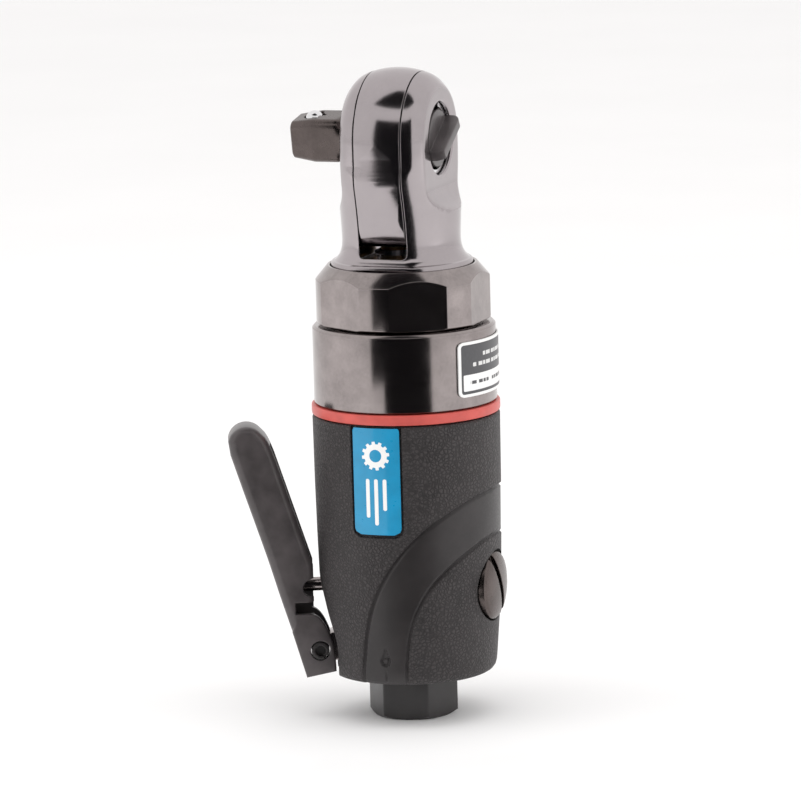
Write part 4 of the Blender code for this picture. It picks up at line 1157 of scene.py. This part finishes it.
class RATCHET_OT_grip(bpy.types.Operator):
    """Stippled rubber grip with a plain swept strip, the lever's recess and the badge."""
    bl_idname = "ratchet.grip"
    bl_label = "Grip and badge"

    def execute(self, context):
        grip = grip_shell()
        smooth = smooth_outline(recess_outline()[:7], 5) + recess_outline()[7:]
        recess = slab("lever_recess", [smooth], -20, 20, "XZ")
        lug_slot = block("lug_slot", (-25, -3.1, 5), (-8, 3.1, 20.5))
        pin_hole = rod("pin_hole", 2.3, -25, -10, axis="X", at=(0, 0, VALVE_Z))
        dial_hole = rod("dial_hole", 7.8, 10, 25, 96, "X", (0, 0, VALVE_Z))
        low, high = span("badge")
        pocket = curved_pad("badge_pocket", 19.3, 24, low.z - 0.75, 75, 16.6, -90.0, (2.0, 0.0))
        to_lever_side(recess, lug_slot, pin_hole)
        cut(grip, recess, lug_slot, pin_hole, dial_hole, pocket)
        complete(grip, "grip_rubber", "grip_rubber", BODY, "grip", sharp=38.0)
        badge = curved_pad("badge_printed", 19.6, 20.0, low.z, high.z, 15.2, -90.0, (1.5, 0.3))
        complete(badge, "badge_print", "blue_label", BODY, "badge")
        return {'FINISHED'}


# ------------------------------------------------------------------ throttle and inlet

class RATCHET_OT_throttle(bpy.types.Operator):
    """Throttle lever folded from sheet, its slotted roll pin and the throttle pin."""
    bl_idname = "ratchet.throttle"
    bl_label = "Throttle lever"

    def execute(self, context):
        palm = [(-23.1, 9.3), (-26.0, 19.4), (-28.4, 27.2), (-30.7, 35.1), (-33.2, 43.0),
            (-35.7, 50.8), (-38.4, 59.4)]
        paddle_outline = smooth_outline(palm[1:], 6)[:-1]
        paddle_outline += arc(4.0, 168.0, 40.0, 22, (-34.6, 60.6))
        paddle_outline += smooth_outline([(-30.6, 62.2), (-29.8, 60.8), (-28.7, 58.0)], 4)
        paddle_outline += [(-21.1, 34.0), (-21.1, 19.4)]
        lever = slab("throttle_paddle", [paddle_outline], -LEVER_HALF, LEVER_HALF, "XZ", edge=1.7)
        heel_outline = smooth_outline(palm[:2], 2)
        heel_outline += smooth_outline([(-24.9, 23.4), (-22.6, 23.3), (-20.6, 22.8), (-18.9, 20.8),
            (-17.4, 17.0), (-16.8, 13.0), (-16.7, 10.5)], 5)
        heel = slab("lever_heel", [heel_outline], -LEVER_HALF, LEVER_HALF, "XZ", edge=0.45)
        web = 2.0
        channel_outline = [(-23.1 + web, 0.0), (-23.1 + web, 9.3), (-37.0 + web, 58.0),
            (-33.0, 59.5), (-20, 62), (-5, 62), (-5, 0.0)]
        wall = 3.3
        channel = slab("lever_channel", [channel_outline], -wall, wall, "XZ")
        window = block("lever_window", (-25.2, -10, 23.3), (-10, 0.0, 25.9))
        trim = block("lever_trim", (-24.0, -10, 10), (-5, 10, 23.2))
        notch = rod("pin_notch", 2.0, 0.0, 10, axis="Y", at=(-21.4, 0, VALVE_Z))
        notch.data.transform(moved((0, -10, 0)))
        mouth = block("notch_mouth", (-21.4, -10, VALVE_Z - 2.0), (-10, 0.0, VALVE_Z + 2.0))
        eye = rod("lever_eye", 2.15, -10, 10, axis="Y", at=(PIVOT_X, 0, PIVOT_Z))
        to_lever_side(lever, heel, channel, window, trim, notch, mouth, eye)
        cut(lever, trim)
        join(lever, heel)
        cut(lever, channel, window, notch, mouth, eye)
        complete(lever, "satin_black", "black_oxide", "throttle_lever", "throttle_lever")
        slit = 12.0
        pin_outline = arc(1.9, slit, 360 - slit, 60) + arc(1.15, 360 - slit, slit, 60)
        pin = slab("roll_pin", [pin_outline], -LEVER_HALF, LEVER_HALF, "XZ", (PIVOT_X, 0, PIVOT_Z),
            0.1, Matrix.Rotation(0.9, 4, 'Y'))
        core_half = LEVER_HALF - 1.2
        core = rod("pin_core", 1.3, -core_half, core_half, 48, "Y", (PIVOT_X, 0, PIVOT_Z))
        to_lever_side(pin, core)
        join(pin, core)
        complete(pin, "black_oxide", "bright_steel", BODY, "lever_pin")
        stem = turned("throttle_stem", [(0.0, -3.7), (3.2, -3.7), (3.2, -5.5), (1.5, -5.5),
            (1.5, STEM_START + 0.5), (1.0, STEM_START), (0.0, STEM_START)], 64, "X",
            (0, 0, VALVE_Z), 0.12)
        to_lever_side(stem)
        complete(stem, "satin_steel", "bright_steel", "throttle_pin", "throttle_pin")
        return {'FINISHED'}


class RATCHET_OT_valve(bpy.types.Operator):
    """Regulator dial with its screwdriver slot, and the hexagonal air inlet."""
    bl_idname = "ratchet.valve"
    bl_label = "Regulator and inlet"

    def execute(self, context):
        spot = (0.0, 0.0, VALVE_Z)
        dial = turned("regulator_dial", [(0.0, 20.7), (2.2, 20.63), (4.2, 20.42), (5.8, 20.1),
            (6.8, 19.75), (7.4, 19.2), (7.4, 16.4), (5.0, 16.4), (5.0, 13.6), (3.9, 13.6),
            (3.9, 11.8), (5.0, 11.8), (5.0, 4.2), (0.0, 4.2)], 128, "X", spot, 0.2)
        tilt = moved(spot) @ Matrix.Rotation(math.radians(25.0), 4, 'X')
        groove = block("dial_slot", (19.0, -0.9, -9), (25, 0.9, 9), tilt)
        cut(dial, groove)
        complete(dial, "drive_steel", "dark_steel", "regulator", "regulator", sharp=24.0)
        top = 11.0
        inlet = turned("air_inlet", [(6.3, 0.0), (8.4, 0.0), (10.2, 1.1), (10.2, top), (8.3, top),
            (8.3, 21.6), (4.4, 21.6), (4.4, 13.0), (5.8, 12.0), (5.8, 0.6)], 144)
        across = 17.0 / math.sqrt(3)
        hexagon = slab("inlet_flats", [hexagon_outline(across, 8.0)], -5, 30)
        combine(inlet, [hexagon], 'INTERSECT')
        complete(inlet, "black_oxide", "black_oxide", BODY, "inlet_bushing", sharp=24.0)
        return {'FINISHED'}


def hexagon_outline(across, start):
    """Hexagon with softly rounded corners."""
    points = []
    corner_r = 0.6
    centre_r = across - corner_r / math.cos(math.pi / 6)
    for k in range(6):
        angle = math.radians(start + 60.0 * k)
        centre = (centre_r * math.cos(angle), centre_r * math.sin(angle))
        points += arc(corner_r, start + 60.0 * k - 30.0, start + 60.0 * k + 30.0, 5, centre)
    return points


INNER_FINISHES = {"ground_steel": "ground_steel", "bright_steel": "bright_steel",
    "bronze": "sintered_bronze", "cast_aluminium": "machined_aluminium",
    "seal_rubber": "seal_rubber", "vane_composite": "vane_laminate", "gasket": "gasket_fibre",
    "dark_steel": "satin_steel", "black_oxide": "black_oxide",}


class RATCHET_OT_inner(bpy.types.Operator):
    """Finishes for the motor, gears, bearings, springs and seals kept from the frame."""
    bl_idname = "ratchet.inner"
    bl_label = "Inner pieces"

    def execute(self, context):
        slots = {row["node"]: row["material_slot"] for row in frame["record"]["subparts"]}
        for node, obj in frame["nodes"].items():
            if obj.hide_render:
                continue
            look = finish(INNER_FINISHES[slots[node]])
            if not obj.material_slots:
                obj.data.materials.append(look)
            for place in obj.material_slots:
                place.material = look
        return {'FINISHED'}


# ------------------------------------------------------------------ stage

def card(name, azimuth, half_width, profile):
    """A dark card that only reflections see, swept about the tool through a sector."""
    work = bmesh.new()
    columns = 40
    rings = []
    for reach, up in profile:
        ring = []
        for i in range(columns + 1):
            turn = math.radians(azimuth + half_width * (2 * i / columns - 1))
            ring.append(work.verts.new((reach * math.sin(turn), -reach * math.cos(turn), up)))
        rings.append(ring)
    ring_faces(work, rings, wrap=False)
    sheet = new_object(name, work)
    sheet.data.materials.append(finish("studio_flag"))
    sheet.data.shade_smooth()
    sheet.visible_camera = False
    sheet.visible_diffuse = False
    sheet.visible_shadow = False


def softbox(name, azimuth, elevation, distance, width, height, power):
    light = bpy.data.lights.new(name, 'AREA')
    light.shape = 'RECTANGLE'
    light.size = width
    light.size_y = height
    light.energy = power
    lamp = bpy.data.objects.new(name, light)
    turn = math.radians(azimuth)
    rise = math.radians(elevation)
    back = Vector((math.sin(turn) * math.cos(rise), -math.cos(turn) * math.cos(rise),
        math.sin(rise)))
    aim = REST + Vector((0.0, 0.0, 0.07))
    lamp.location = aim + back * distance
    lamp.rotation_mode = 'QUATERNION'
    lamp.rotation_quaternion = (-back).to_track_quat('-Z', 'Y')
    lamp.visible_glossy = False
    bpy.context.scene.collection.objects.link(lamp)


class RATCHET_OT_stage(bpy.types.Operator):
    """Pale floor, soft studio light and the camera."""
    bl_idname = "ratchet.stage"
    bl_label = "Stage"

    def execute(self, context):
        work = bmesh.new()
        bmesh.ops.create_grid(work, x_segments=8, y_segments=8, size=6.0)
        floor = new_object("floor", work)
        floor.location.z = -0.00002
        floor.data.materials.append(finish("floor_paint"))
        card("front_card", 15.0, 36.5, [(0.32, 0.0006), (0.32, 0.33)])
        card("floor_card", 23.0, 29.0, [(0.045, 0.0006), (0.32, 0.0006)])
        card("top_card", 15.0, 60.0, [(0.02, 0.75), (0.36, 0.62)])
        world = bpy.data.worlds.new("studio")
        world.use_nodes = True
        backdrop = world.node_tree.nodes["Background"]
        backdrop.inputs["Color"].default_value = (1.0, 0.985, 0.98, 1.0)
        backdrop.inputs["Strength"].default_value = 1.0
        context.scene.world = world
        softbox("left_softbox", -62.0, 28.0, 0.9, 0.5, 0.9, 1.6)
        softbox("right_softbox", 95.0, 24.0, 0.9, 0.4, 0.9, 1.6)
        softbox("top_softbox", 10.0, 80.0, 0.9, 0.6, 0.6, 1.2)
        context.scene.view_settings.view_transform = 'Standard'
        self.camera(context)
        return {'FINISHED'}

    def camera(self, context):
        """Camera at the catalogue angle: a little to the right, a little above."""
        azimuth = math.radians(20.0)
        elevation = math.radians(10.0)
        distance = 1.1
        lens = bpy.data.cameras.new("camera")
        lens.sensor_width = 36.0
        lens.lens = 228.0
        lens.clip_start = 0.05
        lens.clip_end = 50.0
        camera = bpy.data.objects.new("camera", lens)
        back = Vector((math.sin(azimuth) * math.cos(elevation),
            -math.cos(azimuth) * math.cos(elevation), math.sin(elevation)))
        right = Vector((math.cos(azimuth), math.sin(azimuth), 0.0))
        aim = Vector((AXIS_X * MM, 0.0, 67.95 * MM)) - right * 1.18 * MM
        camera.location = aim + back * distance
        camera.rotation_mode = 'QUATERNION'
        roll = Quaternion((0.0, 0.0, 1.0), math.radians(-1.55))
        camera.rotation_quaternion = (-back).to_track_quat('-Z', 'Y') @ roll
        context.scene.collection.objects.link(camera)
        context.scene.camera = camera


# ------------------------------------------------------------------ panel and registration

STEPS = [RATCHET_OT_head, RATCHET_OT_yoke, RATCHET_OT_drive, RATCHET_OT_reverse, RATCHET_OT_nut,
    RATCHET_OT_barrel, RATCHET_OT_grip, RATCHET_OT_throttle, RATCHET_OT_valve, RATCHET_OT_inner,
    RATCHET_OT_stage,]


class RATCHET_PT_panel(bpy.types.Panel):
    """Lists the pieces, sizes and colours in the sidebar."""
    bl_idname = "RATCHET_PT_panel"
    bl_label = "Air ratchet"
    bl_space_type = 'VIEW_3D'
    bl_region_type = 'UI'
    bl_category = "Air ratchet"

    def draw(self, context):
        for step in STEPS:
            self.layout.operator(step.bl_idname)
        for group in (context.scene.ratchet_sizes, context.scene.ratchet_colours):
            box = self.layout.box()
            for name in group.bl_rna.properties.keys():
                if name not in ("rna_type", "name"):
                    box.prop(group, name)


CLASSES = [RatchetSizes, RatchetColours, *STEPS, RATCHET_PT_panel]


def register():
    for cls in CLASSES:
        bpy.utils.register_class(cls)
    bpy.types.Scene.ratchet_sizes = bpy.props.PointerProperty(type=RatchetSizes)
    bpy.types.Scene.ratchet_colours = bpy.props.PointerProperty(type=RatchetColours)


def unregister():
    del bpy.types.Scene.ratchet_colours
    del bpy.types.Scene.ratchet_sizes
    for cls in reversed(CLASSES):
        bpy.utils.unregister_class(cls)


def main():
    register()
    for step in STEPS:
        group, name = step.bl_idname.split(".")
        getattr(getattr(bpy.ops, group), name)()


if __name__ == "__main__":
    main()
